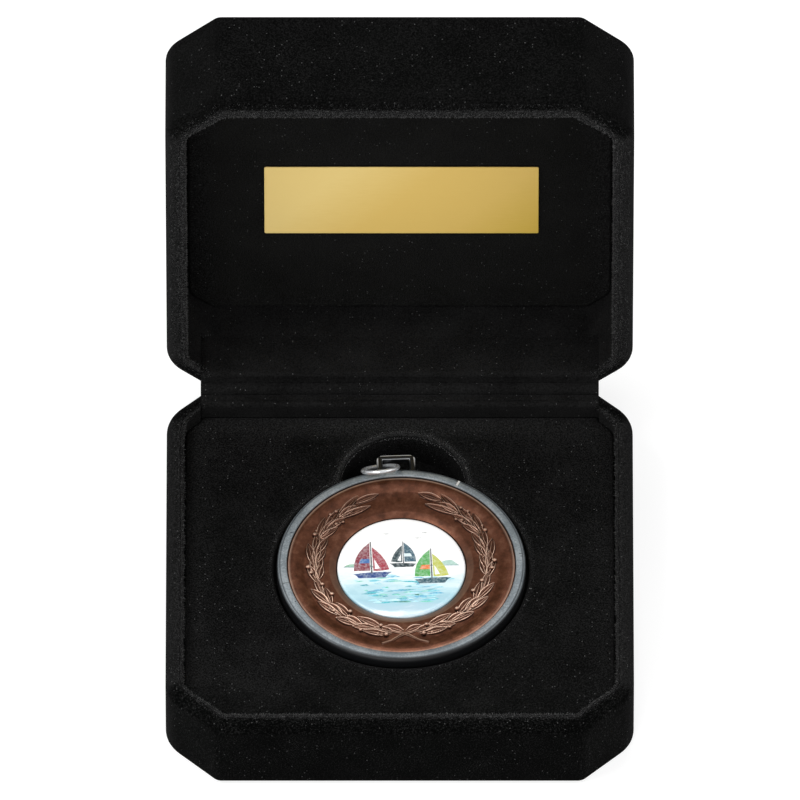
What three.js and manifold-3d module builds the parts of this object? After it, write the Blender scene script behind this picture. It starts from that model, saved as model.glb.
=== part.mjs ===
// A flocked presentation case with a medal in it, standing open with its lid upright.
// Millimetres, +Z up, front towards -Y, origin at the centre of the base's underside.
// Each half of the case is drawn with its lip at height zero and its body below.
import * as THREE from "three";
import { mergeVertices } from "three/addons/utils/BufferGeometryUtils.js";
import Module from "manifold-3d";

const wasm = await Module();
wasm.setup();

// Case halves
const caseWidth = 93.6;
const caseDepth = 88.5;
const baseHeight = 17;
const lidHeight = 22.85;
const frontChamferAcross = 10.3;
const frontChamferAlong = 9.5;
const backChamferAcross = 7.4;
const backChamferAlong = 6.6;
const sideCornerRound = 8;
const endCornerRound = 2.4;
const shellWall = 2.9;
const shellFloor = 2;
const lipRound = 2.2;
const footRound = 1;
const linerWall = 1;
const liningRound = 0.4;
const leastCornerRound = 0.8;
const seatGap = 0.3;
const filmGap = 0.1;
const lipGap = 0.3;
const openAngle = 90;

// Insert of the base
const trayDrop = 3.5;
const traySheet = 1;
const traySkirt = 6;
const trayEdgeRound = 0.5;
const recessGap = 0.6;
const recessDepth = 2.5;
const notchRadiusShare = 0.1424;
const notchOffsetX = 0.65;
const notchOffsetShare = 0.2548;
const notchDepthShare = 0.7;

// Lining and plate of the lid
const panelDrop = 17.5;
const padSheet = 1.5;
const plateWidth = 55;
const plateHeight = 20.8;
const plateSheet = 0.5;
const plateFromHinge = 37.85;
const plateOffsetX = 0.35;
const tapeSheet = 0.15;
const tapeInset = 1;

// Hinge
const hingeEndInset = 6.8;
const knuckleRadius = 1.5;
const knuckleCount = 5;
const knuckleGap = 0.4;
const pinRadius = 0.6;
const boreGap = 0.15;
const leafDepth = 9.5;
const pegRadius = 1.2;
const pegSpacing = 58;
const springWidth = 12;
const springSheet = 0.4;
const rivetRadius = 0.8;
const rivetSpacing = 7;
const rivetInset = 1.6;

// Medal
const medalDiameter = 50;
const medalThickness = 4;
const medalOffsetX = 0.33;
const medalTurn = 2.3;
const rimWidth = 2.35;
const rimEdgeRound = 1.1;
const rimFlangeWidth = 2.2;
const rimFlangeSheet = 0.7;
const grooveGap = 0.3;
const mouldingWidth = 2.9;
const mouldingRise = 0.65;
const discDrop = 0.35;
const bevelWidth = 1.7;
const bevelDrop = 0.5;
const insertDiameter = 25.5;
const insertSheet = 0.4;

// Loop and jump ring
const loopWidth = 7.7;
const loopReach = 3.6;
const loopSideBar = 1.1;
const loopEndBar = 1;
const loopSheet = 1.3;
const loopDrop = 0.25;
const loopCornerRound = 0.6;
const ringWire = 0.92;
const ringRadius = 3.53;
const ringOffsetX = -3.2;
const ringOffsetY = 24.72;
const ringRise = 4.09;
const ringTilt = 48.3;
const ringYaw = 7.5;

// Fineness of the curved surfaces
const cornerSteps = 3;
const edgeSteps = 3;
const medalSteps = 72;
const notchSteps = 48;
const rodSteps = 20;
const wireSteps = 10;
const ringSteps = 36;
const weld = 1e-4;
const overrun = 3;

const wall = shellWall + seatGap + linerWall;
const innerInset = wall + seatGap;
const hingeY = caseDepth / 2;
const hingeRise = lipGap / 2;
const leafPlane = hingeY - wall;
const leafSheet = linerWall;
const hingeLength = caseWidth - 2 * hingeEndInset;
const halfHinge = hingeLength / 2;
const backEnd = planCorners(innerInset)[2].at[0];
const cornerRoom = Math.max(halfHinge + seatGap - backEnd, 0) * (backChamferAlong / backChamferAcross);
const medalRadius = medalDiameter / 2;
const discRadius = medalRadius - rimWidth - grooveGap;
const recessFloor = baseHeight - trayDrop - recessDepth;
const medalBottom = recessFloor + seatGap;

// Turns a closed geometry into a solid that can be joined and cut.
function solidOf(geometry) {
  const bare = geometry.clone();
  bare.deleteAttribute("normal");
  bare.deleteAttribute("uv");
  const merged = mergeVertices(bare, weld);
  const mesh = new wasm.Mesh({
    numProp: 3,
    vertProperties: new Float32Array(merged.attributes.position.array),
    triVerts: new Uint32Array(merged.index.array),
  });
  return new wasm.Manifold(mesh);
}

// Turns a solid back into a geometry for a mesh.
function geometryOf(solid) {
  const mesh = solid.getMesh();
  const geometry = new THREE.BufferGeometry();
  geometry.setAttribute("position", new THREE.BufferAttribute(mesh.vertProperties, 3));
  geometry.setIndex(new THREE.BufferAttribute(mesh.triVerts, 1));
  return geometry;
}

function joined(first, ...others) {
  return others.reduce((sum, other) => sum.add(other), first);
}

function cut(first, ...others) {
  return others.reduce((rest, other) => rest.subtract(other), first);
}

// A block between two corners.
function block(low, high) {
  const size = high.map((value, i) => value - low[i]);
  const geometry = new THREE.BoxGeometry(...size);
  geometry.translate(...high.map((value, i) => (value + low[i]) / 2));
  return solidOf(geometry);
}

// A round bar along X or Y between two places on that axis.
function bar(axis, radius, from, to, [first, second], steps = rodSteps) {
  const geometry = new THREE.CylinderGeometry(radius, radius, to - from, steps);
  const middle = (from + to) / 2;
  if (axis === "x") geometry.rotateZ(Math.PI / 2).translate(middle, first, second);
  else geometry.translate(first, middle, second);
  return solidOf(geometry);
}

// A solid of revolution about the Z axis from a closed profile of radius and height.
function turned(profile, steps) {
  const points = profile.map(([radius, height]) => new THREE.Vector2(radius, height));
  const geometry = new THREE.LatheGeometry(points, steps);
  geometry.rotateX(Math.PI / 2);
  return solidOf(geometry);
}

// The corners of the case's plan, moved inwards by an inset, with the rounding of each.
function planCorners(inset) {
  const halfX = caseWidth / 2;
  const halfY = caseDepth / 2;
  const chamferCorners = (across, along) => {
    const length = Math.hypot(across, along);
    const reach = (along * halfX + across * (halfY - along)) / length - inset;
    const side = (length * reach - along * (halfX - inset)) / across;
    const end = (length * reach - across * (halfY - inset)) / along;
    return { side, end };
  };
  const front = chamferCorners(frontChamferAcross, frontChamferAlong);
  const back = chamferCorners(backChamferAcross, backChamferAlong);
  const sideRound = Math.max(sideCornerRound - inset, leastCornerRound);
  const endRound = Math.max(endCornerRound - inset, leastCornerRound);
  const x = halfX - inset;
  const y = halfY - inset;
  return [
    { at: [x, -front.side], round: sideRound },
    { at: [x, back.side], round: sideRound },
    { at: [back.end, y], round: endRound },
    { at: [-back.end, y], round: endRound },
    { at: [-x, back.side], round: sideRound },
    { at: [-x, -front.side], round: sideRound },
    { at: [-front.end, -y], round: endRound },
    { at: [front.end, -y], round: endRound },
  ];
}

// The plan of the case as a shape of straight sides and tangent arcs.
function casePlan(inset) {
  const corners = planCorners(inset);
  const shape = new THREE.Shape();
  corners.forEach(({ at, round }, i) => {
    const corner = new THREE.Vector2(...at);
    const before = new THREE.Vector2(...corners.at(i - 1).at);
    const after = new THREE.Vector2(...corners[(i + 1) % corners.length].at);
    const arriving = corner.clone().sub(before).normalize();
    const leaving = after.sub(corner).normalize();
    const turn = Math.acos(arriving.dot(leaving));
    const start = corner.clone().addScaledVector(arriving, -round * Math.tan(turn / 2));
    const inward = new THREE.Vector2(-arriving.y, arriving.x);
    const centre = start.clone().addScaledVector(inward, round);
    const heading = Math.atan2(-inward.y, -inward.x);
    if (i === 0) shape.moveTo(start.x, start.y);
    else shape.lineTo(start.x, start.y);
    shape.absarc(centre.x, centre.y, round, heading, heading + turn, false);
  });
  shape.closePath();
  return shape;
}

// A prism on the case's plan between two heights, its edges rounded by a given radius.
function planPrism(inset, low, high, round = 0) {
  const geometry = new THREE.ExtrudeGeometry(casePlan(inset), {
    depth: high - low - 2 * round,
    bevelEnabled: round > 0,
    bevelThickness: round,
    bevelSize: round,
    bevelOffset: -round,
    bevelSegments: edgeSteps,
    curveSegments: cornerSteps,
  });
  geometry.translate(0, 0, low + round);
  return solidOf(geometry);
}

// The room that a hinge leaf takes: across the inside of the back wall.
function leafRoom() {
  const half = halfHinge + seatGap;
  const start = hingeY - innerInset - cornerRoom;
  return block([-half, start, -leafDepth - seatGap], [half, hingeY - shellWall, overrun]);
}

// One flocked shell: rounded lip and foot, a hollow, and the seat of its hinge leaf.
function shell(height) {
  const lipForm = planPrism(0, -height - overrun, 0, lipRound);
  const footForm = planPrism(0, -height, overrun, footRound);
  const hollow = planPrism(shellWall, shellFloor - height, overrun);
  const half = halfHinge + seatGap;
  const rebate = block(
    [-half, hingeY - shellWall - seatGap, -leafSheet - seatGap],
    [half, hingeY + overrun, overrun],
  );
  const barrelRadius = knuckleRadius + seatGap;
  const barrelSeat = bar("x", barrelRadius, -half, half, [hingeY, hingeRise]);
  const pegs = [-1, 1].map((side) =>
    bar("y", pegRadius, leafPlane, hingeY - shellWall / 2, pegPlace(side)),
  );
  return joined(cut(lipForm.intersect(footForm), hollow, leafRoom(), rebate, barrelSeat), ...pegs);
}

function pegPlace(side) {
  return [(side * pegSpacing) / 2, -(leafDepth + leafSheet) / 2];
}

// The base shell also has a pocket for the spring strip and its tongue.
function baseShell() {
  const half = springWidth / 2 + seatGap;
  const back = springPlane + springSheet + seatGap;
  const strip = block([-half, leafPlane, -leafDepth - seatGap], [half, back, overrun]);
  const tongue = block(
    [-half, leafPlane, tongueTop - springSheet - seatGap],
    [half, hingeY + seatGap, overrun],
  );
  return cut(shell(baseHeight), strip, tongue);
}

// A thin inner wall that stands inside a shell up to its lip.
function liner(height) {
  const inset = shellWall + seatGap;
  const foot = shellFloor + seatGap - height;
  const outside = planPrism(inset, foot - overrun, 0, liningRound);
  const trimmed = outside.intersect(planPrism(inset - seatGap, foot, overrun));
  return cut(trimmed, planPrism(inset + linerWall, foot - overrun, overrun), leafRoom());
}

// Knuckles sit in turn on one leaf and the other.
function knuckleSpans(parity) {
  const pitch = (hingeLength + knuckleGap) / knuckleCount;
  return Array.from({ length: knuckleCount }, (_, i) => i)
    .filter((i) => i % 2 === parity)
    .map((i) => {
      const from = i * pitch - halfHinge;
      return [from, from + pitch - knuckleGap];
    });
}

// One steel leaf: a plate inside the back wall, a strip over the lip, and its knuckles.
function hingeLeaf(parity, holes) {
  const stripEnd = hingeY - knuckleRadius - seatGap;
  const plate = block([-halfHinge, leafPlane, -leafDepth], [halfHinge, leafPlane + leafSheet, 0]);
  const strip = block([-halfHinge, leafPlane, -leafSheet], [halfHinge, stripEnd, 0]);
  const knuckles = knuckleSpans(parity).map(([from, to]) => {
    const tab = block([from, leafPlane, -leafSheet], [to, hingeY, 0]);
    return joined(tab, bar("x", knuckleRadius, from, to, [hingeY, hingeRise]));
  });
  const boreReach = halfHinge + overrun;
  const bore = bar("x", pinRadius + boreGap, -boreReach, boreReach, [hingeY, hingeRise]);
  const pegHoles = [-1, 1].map((side) =>
    bar("y", pegRadius + seatGap, leafPlane - overrun, leafPlane + overrun, pegPlace(side)),
  );
  return cut(joined(plate, strip, ...knuckles), bore, ...pegHoles, ...holes);
}

function hingePin() {
  const half = halfHinge - filmGap;
  return bar("x", pinRadius, -half, half, [hingeY, hingeRise]);
}

const springPlane = leafPlane + leafSheet + seatGap;
const tongueTop = hingeRise - knuckleRadius - seatGap;

// The spring strip stands behind the leaf, its tongue bent out under the lid's middle knuckle.
function snapSpring() {
  const half = springWidth / 2;
  const strip = block([-half, springPlane, -leafDepth], [half, springPlane + springSheet, tongueTop]);
  const tongue = block([-half, springPlane, tongueTop - springSheet], [half, hingeY, tongueTop]);
  return cut(joined(strip, tongue), ...rivetHoles());
}

function rivetPlace(side) {
  return [(side * rivetSpacing) / 2, rivetInset - leafDepth];
}

function rivetHoles() {
  return [-1, 1].map((side) =>
    bar("y", rivetRadius + filmGap, leafPlane - overrun, leafPlane + overrun, rivetPlace(side)),
  );
}

function springRivet(side) {
  return bar("y", rivetRadius, leafPlane, springPlane + springSheet, rivetPlace(side));
}

// A round well cut into the insert, its top edge rolled over.
function well(radius, floor, top, steps) {
  const roll = Array.from({ length: edgeSteps + 1 }, (_, i) => {
    const angle = (i / edgeSteps) * (Math.PI / 2);
    return [
      radius + trayEdgeRound * (1 - Math.cos(angle)),
      top - trayEdgeRound * (1 - Math.sin(angle)),
    ];
  });
  const flare = radius + trayEdgeRound;
  return turned([[0, floor], [radius, floor], ...roll, [flare, top + overrun], [0, top + overrun]], steps);
}

function can(radius, low, high, steps) {
  return turned([[0, low], [radius, low], [radius, high], [0, high]], steps);
}

const notchRadius = notchRadiusShare * caseDepth;
const notchDepth = notchDepthShare * (baseHeight - trayDrop - shellFloor);
const medalSeat = [medalOffsetX, 0, 0];
const notchSeat = [notchOffsetX, notchOffsetShare * caseDepth, 0];
const recessRadius = medalRadius + recessGap;

// The insert's plan, which runs on to the back between the ends of the liner.
function trayPrism(margin, low, high) {
  const half = halfHinge - margin;
  const back = hingeY - innerInset - margin;
  const run = block([-half, back - cornerRoom, low], [half, back, high]);
  return joined(planPrism(innerInset + margin, low, high), run);
}

// The vacuum-formed insert: a flat face with a skirt, the medal's recess and the finger notch.
function insertTray() {
  const top = -trayDrop;
  const recessLow = top - recessDepth;
  const notchLow = top - notchDepth;
  const face = trayPrism(0, top - traySheet, top);
  const skirtHollow = trayPrism(traySheet, top - traySkirt - overrun, top - traySheet / 2);
  const skirt = cut(trayPrism(0, top - traySkirt, top), skirtHollow);
  const recessCup = can(recessRadius + traySheet, recessLow - traySheet, top, medalSteps);
  const notchCup = can(notchRadius + traySheet, notchLow - traySheet, top, notchSteps);
  const body = joined(face, skirt, recessCup.translate(medalSeat), notchCup.translate(notchSeat));
  const recess = well(recessRadius, recessLow, top, medalSteps);
  const notch = well(notchRadius, notchLow, top, notchSteps);
  return cut(body, recess.translate(medalSeat), notch.translate(notchSeat));
}

// The foam block that carries the insert on the shell's floor.
function insertSupport() {
  const top = -trayDrop - traySheet - seatGap;
  const bottom = shellFloor + seatGap - baseHeight;
  const recessLow = -trayDrop - recessDepth - traySheet - seatGap;
  const notchLow = -trayDrop - notchDepth - traySheet - seatGap;
  const margin = traySheet + seatGap;
  const foam = trayPrism(margin, bottom, top);
  const recess = can(recessRadius + margin, recessLow, top + overrun, medalSteps);
  const notch = can(notchRadius + margin, notchLow, top + overrun, notchSteps);
  return cut(foam, recess.translate(medalSeat), notch.translate(notchSeat));
}

function lidPad() {
  return planPrism(innerInset, -panelDrop - padSheet, -panelDrop, liningRound);
}

function lidBoard() {
  const low = shellFloor + seatGap - lidHeight;
  return planPrism(innerInset, low, -panelDrop - padSheet - seatGap);
}

// A sheet that lies on the lid's panel under the plate's place.
function panelSheet(inset, low, high) {
  const x = -plateOffsetX;
  const y = hingeY - plateFromHinge;
  const halfX = plateWidth / 2 - inset;
  const halfY = plateHeight / 2 - inset;
  return block([x - halfX, y - halfY, low], [x + halfX, y + halfY, high]);
}

const tapeLow = -panelDrop + filmGap;
const plateLow = tapeLow + tapeSheet + filmGap;

// The holder ring: rounded rim, a flange under the disc, and the cast loop at its back.
function medalRim() {
  const inner = medalRadius - rimWidth;
  const roundOver = Array.from({ length: edgeSteps + 1 }, (_, i) => {
    const angle = (i / edgeSteps) * (Math.PI / 2);
    return [
      medalRadius - rimEdgeRound * (1 - Math.cos(angle)),
      medalThickness - rimEdgeRound * (1 - Math.sin(angle)),
    ];
  });
  const flangeInner = inner - rimFlangeWidth;
  const lowerRound = rimEdgeRound / 2;
  const profile = [
    [flangeInner, 0],
    [medalRadius - lowerRound, 0],
    [medalRadius, lowerRound],
    ...roundOver,
    [inner + lowerRound, medalThickness],
    [inner, medalThickness - lowerRound],
    [inner, rimFlangeSheet],
    [flangeInner, rimFlangeSheet],
    [flangeInner, 0],
  ];
  const bore = can(inner, -overrun, medalThickness + overrun, medalSteps);
  return joined(turned(profile, medalSteps), cut(loop(), bore));
}

// The rectangular cast loop, rooted in the rim.
function loop() {
  const half = loopWidth / 2;
  const root = medalRadius - rimWidth / 2;
  const end = medalRadius + loopReach;
  const shape = new THREE.Shape();
  shape.moveTo(-half, root);
  shape.lineTo(half, root);
  shape.lineTo(half, end - loopCornerRound);
  shape.quadraticCurveTo(half, end, half - loopCornerRound, end);
  shape.lineTo(loopCornerRound - half, end);
  shape.quadraticCurveTo(-half, end, -half, end - loopCornerRound);
  shape.closePath();
  const innerHalf = half - loopSideBar;
  const hole = new THREE.Path();
  const holeStart = medalRadius - rimWidth / 4;
  hole.moveTo(-innerHalf, holeStart);
  hole.lineTo(-innerHalf, end - loopEndBar);
  hole.lineTo(innerHalf, end - loopEndBar);
  hole.lineTo(innerHalf, holeStart);
  hole.closePath();
  shape.holes.push(hole);
  const geometry = new THREE.ExtrudeGeometry(shape, {
    depth: loopSheet,
    bevelEnabled: false,
    curveSegments: cornerSteps,
  });
  geometry.translate(0, 0, medalThickness - loopDrop - loopSheet);
  return solidOf(geometry);
}

// The bronze disc: moulding, wreath band, bevel and the seat of the centre insert.
function medalDisc() {
  const low = rimFlangeSheet + seatGap;
  const seatRadius = insertDiameter / 2 + seatGap;
  const bandInner = insertDiameter / 2 + bevelWidth;
  const bandOuter = discRadius - mouldingWidth;
  const band = medalThickness - discDrop - mouldingRise;
  const mouldingRadius = mouldingWidth / 2;
  const moulding = Array.from({ length: 2 * edgeSteps + 1 }, (_, i) => {
    const angle = (i / (2 * edgeSteps)) * Math.PI;
    return [
      discRadius - mouldingRadius * (1 - Math.cos(angle)),
      band + mouldingRise * Math.sin(angle),
    ];
  });
  const seat = band - bevelDrop - insertSheet;
  const profile = [
    [0, low],
    [discRadius, low],
    ...moulding,
    [(bandInner + bandOuter) / 2, band],
    [bandInner, band],
    [seatRadius, band - bevelDrop],
    [seatRadius, seat - 2 * filmGap - tapeSheet],
    [0, seat - 2 * filmGap - tapeSheet],
  ];
  return turned(profile, medalSteps);
}

function centreLow() {
  return medalThickness - discDrop - mouldingRise - bevelDrop - insertSheet;
}

function centreDisc() {
  return can(insertDiameter / 2, centreLow(), centreLow() + insertSheet, medalSteps);
}

function centreTape() {
  const high = centreLow() - filmGap;
  return can(insertDiameter / 2 - tapeInset, high - tapeSheet, high, notchSteps);
}

function jumpRingGeometry() {
  const geometry = new THREE.TorusGeometry(ringRadius, ringWire / 2, wireSteps, ringSteps);
  geometry.rotateX(THREE.MathUtils.degToRad(ringTilt - 90));
  geometry.rotateZ(THREE.MathUtils.degToRad(ringYaw));
  return geometryOf(solidOf(geometry));
}

// Finishes
const flock = { color: 0x17181a, roughness: 1, metalness: 0 };
const velvet = { color: 0x1b1c1e, roughness: 1, metalness: 0 };
const foam = { color: 0x3a3a3c, roughness: 0.95, metalness: 0 };
const greyBoard = { color: 0x8a857c, roughness: 0.9, metalness: 0 };
const steel = { color: 0x9a9ca0, roughness: 0.4, metalness: 1 };
const flockedSteel = { color: 0x141416, roughness: 1, metalness: 0 };
const gold = { color: 0xd2b45f, roughness: 0.3, metalness: 1 };
const tape = { color: 0xd8d4c8, roughness: 0.7, metalness: 0 };
const greyMetal = { color: 0x8b9399, roughness: 0.25, metalness: 1 };
const bronze = { color: 0x6b4232, roughness: 0.4, metalness: 1 };
const print = { color: 0xf4f6f6, roughness: 0.3, metalness: 0 };
const nickel = { color: 0xc2c4c6, roughness: 0.15, metalness: 1 };

function part(name, shape, finish) {
  const geometry = shape.isBufferGeometry ? shape : geometryOf(shape);
  const mesh = new THREE.Mesh(geometry, new THREE.MeshStandardMaterial(finish));
  mesh.name = name;
  return mesh;
}

// The base half, its lip at the base's height.
const base = new THREE.Group();
base.position.z = baseHeight;
base.add(part("base_shell", baseShell(), flock));
base.add(part("base_liner", liner(baseHeight), flock));
base.add(part("insert_tray", insertTray(), velvet));
base.add(part("insert_support", insertSupport(), foam));
base.add(part("hinge_leaf_base", hingeLeaf(1, rivetHoles()), flockedSteel));
base.add(part("hinge_pin", hingePin(), steel));
base.add(part("snap_spring", snapSpring(), steel));
base.add(part("spring_rivet_left", springRivet(-1), steel));
base.add(part("spring_rivet_right", springRivet(1), steel));

// The lid half, turned over onto the base and then swung open about the hinge.
const lidHalf = new THREE.Group();
lidHalf.rotation.y = Math.PI;
lidHalf.position.set(0, -hingeY, hingeRise);
lidHalf.add(part("lid_shell", shell(lidHeight), flock));
lidHalf.add(part("lid_liner", liner(lidHeight), flock));
lidHalf.add(part("lid_board", lidBoard(), greyBoard));
lidHalf.add(part("lid_pad", lidPad(), velvet));
lidHalf.add(part("plate_tape", panelSheet(tapeInset, tapeLow, tapeLow + tapeSheet), tape));
lidHalf.add(part("engraving_plate", panelSheet(0, plateLow, plateLow + plateSheet), gold));
lidHalf.add(part("hinge_leaf_lid", hingeLeaf(0, []), flockedSteel));
const lid = new THREE.Group();
lid.position.set(0, hingeY, baseHeight + hingeRise);
lid.rotation.x = -THREE.MathUtils.degToRad(openAngle);
lid.add(lidHalf);

// The medal in its recess, turned a little as it was laid in.
const medal = new THREE.Group();
medal.position.set(medalOffsetX, 0, medalBottom);
medal.rotation.z = THREE.MathUtils.degToRad(medalTurn);
medal.add(part("medal_rim", medalRim(), greyMetal));
medal.add(part("medal_disc", medalDisc(), bronze));
medal.add(part("centre_tape", centreTape(), tape));
medal.add(part("centre_disc", centreDisc(), print));

const jumpRing = part("jump_ring", jumpRingGeometry(), nickel);
jumpRing.position.set(ringOffsetX, ringOffsetY, ringRise);
medal.add(jumpRing);

const casedMedal = new THREE.Group();
casedMedal.add(base, lid, medal);
export default casedMedal;
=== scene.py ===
from math import atan2, cos, exp, hypot, pi, radians, sin, sqrt, tan
from random import Random

import bmesh
import bpy
from mathutils import Matrix, Vector


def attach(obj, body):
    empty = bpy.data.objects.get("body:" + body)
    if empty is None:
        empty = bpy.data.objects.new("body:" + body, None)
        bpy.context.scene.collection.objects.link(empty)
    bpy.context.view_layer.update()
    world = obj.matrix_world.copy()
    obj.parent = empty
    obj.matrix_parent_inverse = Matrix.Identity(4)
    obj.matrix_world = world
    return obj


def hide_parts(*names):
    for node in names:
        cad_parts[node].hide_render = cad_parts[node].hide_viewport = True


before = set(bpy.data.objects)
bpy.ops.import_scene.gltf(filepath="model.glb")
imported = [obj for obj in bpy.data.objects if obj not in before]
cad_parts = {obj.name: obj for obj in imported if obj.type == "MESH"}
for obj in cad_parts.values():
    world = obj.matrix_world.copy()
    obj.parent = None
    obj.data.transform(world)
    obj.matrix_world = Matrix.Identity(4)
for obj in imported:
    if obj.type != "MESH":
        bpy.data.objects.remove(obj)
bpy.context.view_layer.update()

# Camera
# The case is seen from its front, fifty degrees above the table, from far away.
# The field at the case is 160 mm, so the picture holds five pixels to a millimetre.
MM = 0.001
scene = bpy.context.scene
scene.view_settings.view_transform = "Standard"
looking_down = radians(50)
lens, film = 1700, 36
field, rim_ahead = 160 * MM, 35 * MM
aimed_at = Vector((0.05, 41.2, 17.15)) * MM
towards_camera = Vector((0, -cos(looking_down), sin(looking_down)))


def new_object(name, data):
    """An object for a mesh, a lamp or a camera, linked into the scene."""
    made = bpy.data.objects.new(name, data)
    scene.collection.objects.link(made)
    return made


camera = new_object("camera", bpy.data.cameras.new("camera"))
camera.data.lens = lens
camera.data.sensor_width = film
camera.data.clip_end = 20
camera.location = aimed_at + towards_camera * (field * lens / film + rim_ahead)
camera.rotation_euler = (pi / 2 - looking_down, 0, 0)
scene.camera = camera


# Studio
# A pale floor that stays white but keeps the case's shadow, a white surround, a soft
# lamp above the left front, weaker ones on the right and in front, and one that grazes the lips.
def linear(code):
    """The linear colour of an sRGB hex code."""
    parts = [int(code[i:i + 2], 16) / 255 for i in (1, 3, 5)]
    return [p / 12.92 if p <= 0.04045 else ((p + 0.055) / 1.055) ** 2.4 for p in parts] + [1]


def cleared(owner):
    """The empty node tree of a new material or world."""
    owner.use_nodes = True
    owner.node_tree.nodes.clear()
    return owner.node_tree


def add(tree, kind, values=None, links=None, stops=(), **settings):
    """A node with its settings, the values of its sockets and the links into them, and the stops of
    its colours as places and sRGB codes."""
    node = tree.nodes.new(kind)
    for key, value in settings.items():
        setattr(node, key, value)
    for key, value in (values or {}).items():
        node.inputs[key].default_value = value
    for key, source in (links or {}).items():
        tree.links.new(source, node.inputs[key])
    if stops:
        marks = node.color_ramp.elements
        for mark, (position, code) in zip(marks, (stops[0], stops[-1])):
            mark.position, mark.color = position, linear(code)
        for position, code in stops[1:-1]:
            marks.new(position).color = linear(code)
    return node


def direct_ray(tree):
    """1 for what the camera sees, or sees in metal or through glass, and 0 for the light on things."""
    path = add(tree, "ShaderNodeLightPath").outputs
    seen = path["Is Camera Ray"]
    for kind in ("Is Glossy Ray", "Is Transmission Ray"):
        seen = add(tree, "ShaderNodeMath", links={0: seen, 1: path[kind]}, operation="MAXIMUM").outputs[0]
    return seen


surround_light = 0.45
world = bpy.data.worlds.new("surround")
scene.world = world
tree = cleared(world)
lit = add(tree, "ShaderNodeBackground", {"Color": linear("#ffffff"), "Strength": surround_light})
shown = add(tree, "ShaderNodeBackground", {"Color": linear("#ffffff"), "Strength": 1})
either = add(tree, "ShaderNodeMixShader", links={0: direct_ray(tree), 1: lit.outputs[0], 2: shown.outputs[0]})
add(tree, "ShaderNodeOutputWorld", links={"Surface": either.outputs[0]})

# Each lamp's place and width in metres, and its power in watts.
lit_spot = Vector((0, 0.02, 0.03))
lamps = {
    "key_lamp": ((-0.50, -0.14, 0.80), 0.45, 4.4),
    "fill_lamp": ((0.55, -0.16, 0.58), 0.50, 1.8),
    "lip_lamp": ((0.05, 0.34, 0.86), 0.35, 2.2),
    "front_lamp": ((-0.25, -0.75, 0.42), 0.40, 2.6),
}
for name, (place, width, power) in lamps.items():
    lamp = new_object(name, bpy.data.lights.new(name, "AREA"))
    lamp.data.shape = "DISK"
    lamp.data.size = width
    lamp.data.energy = power
    lamp.location = place
    lamp.rotation_mode = "QUATERNION"
    lamp.rotation_quaternion = (lit_spot - Vector(place)).to_track_quat("-Z", "Y")

# Matt white table paint. What the camera sees of it is white, and still darker where the case shades it.
floor_half, floor_low, floor_glow = 3, -0.2 * MM, 0.74
paint = bpy.data.materials.new("matt white paint")
tree = cleared(paint)
matt = add(tree, "ShaderNodeBsdfDiffuse", {"Color": linear("#e6e6e6")})
shaded = add(tree, "ShaderNodeBsdfDiffuse", {"Color": linear("#a0a0a0")})
glow = add(tree, "ShaderNodeEmission", {"Color": linear("#ffffff"), "Strength": floor_glow})
pale = add(tree, "ShaderNodeAddShader", links={0: shaded.outputs[0], 1: glow.outputs[0]})
floor_look = add(tree, "ShaderNodeMixShader", links={0: direct_ray(tree), 1: matt.outputs[0], 2: pale.outputs[0]})
add(tree, "ShaderNodeOutputMaterial", links={"Surface": floor_look.outputs[0]})
floor_mesh = bpy.data.meshes.new("floor")
floor_corners = [(x * floor_half, y * floor_half, floor_low) for x, y in ((-1, -1), (1, -1), (1, 1), (-1, 1))]
floor_mesh.from_pydata(floor_corners, [], [(0, 1, 2, 3)])
floor_mesh.materials.append(paint)
floor = new_object("floor", floor_mesh)


# Case shells
# Two moulded styrene trays with chamfered corners and rounded lips, flocked black all over.
# Each half is drawn with its lip at height zero and its body below, and the lid's half is
# turned over and swung open about the hinge.
case_width, case_depth = 93.6, 88.5
base_height, lid_height = 17, 22.85
chamfers = {-1: (10.3, 9.5), 1: (7.4, 6.6)}
side_corner, end_corner, least_corner = 8, 2.4, 0.8
shell_wall, floor_sheet, lip_round, shell_edge, below_edge = 2.9, 2, 2.2, 0.3, -1.2
foot_round, foot_flat, flank_share = 1, 3, 0.55
hinge_y, hinge_rise, half_hinge, barrel_radius = case_depth / 2, 0.15, 40, 1.5
leaf_plane, leaf_sheet, leaf_depth, seam = 40.05, 1, 9.5, 0.03
# How far a cut reaches past the inner walls, into the corner behind them, round the hinge and past the case.
wall_room, corner_room, barrel_room, past = 4.5, 2.4, 0.1, 3
base_place = Matrix.Scale(MM, 4) @ Matrix.Translation((0, 0, base_height))
lid_place = Matrix.Scale(MM, 4) @ Matrix((
    (-1, 0, 0, 0),
    (0, 0, -1, hinge_y + hinge_rise),
    (0, -1, 0, base_height + hinge_rise + hinge_y),
    (0, 0, 0, 1),
))
halves = (("base", base_height, base_place), ("lid", lid_height, lid_place))


def plan_corners(inset):
    """The corners of the case's plan moved inwards, anticlockwise from the right front, each with its rounding."""
    x, y = case_width / 2 - inset, case_depth / 2 - inset
    right = []
    for end in (-1, 1):
        across, along = chamfers[end]
        length = hypot(across, along)
        reach = (along * case_width / 2 + across * (case_depth / 2 - along)) / length - inset
        side = (x, end * (length * reach - along * x) / across, max(side_corner - inset, least_corner))
        tip = ((length * reach - across * y) / along, end * y, max(end_corner - inset, least_corner))
        right += [tip, side] if end < 0 else [side, tip]
    return right + [(-cx, cy, size) for cx, cy, size in reversed(right)]


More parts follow.
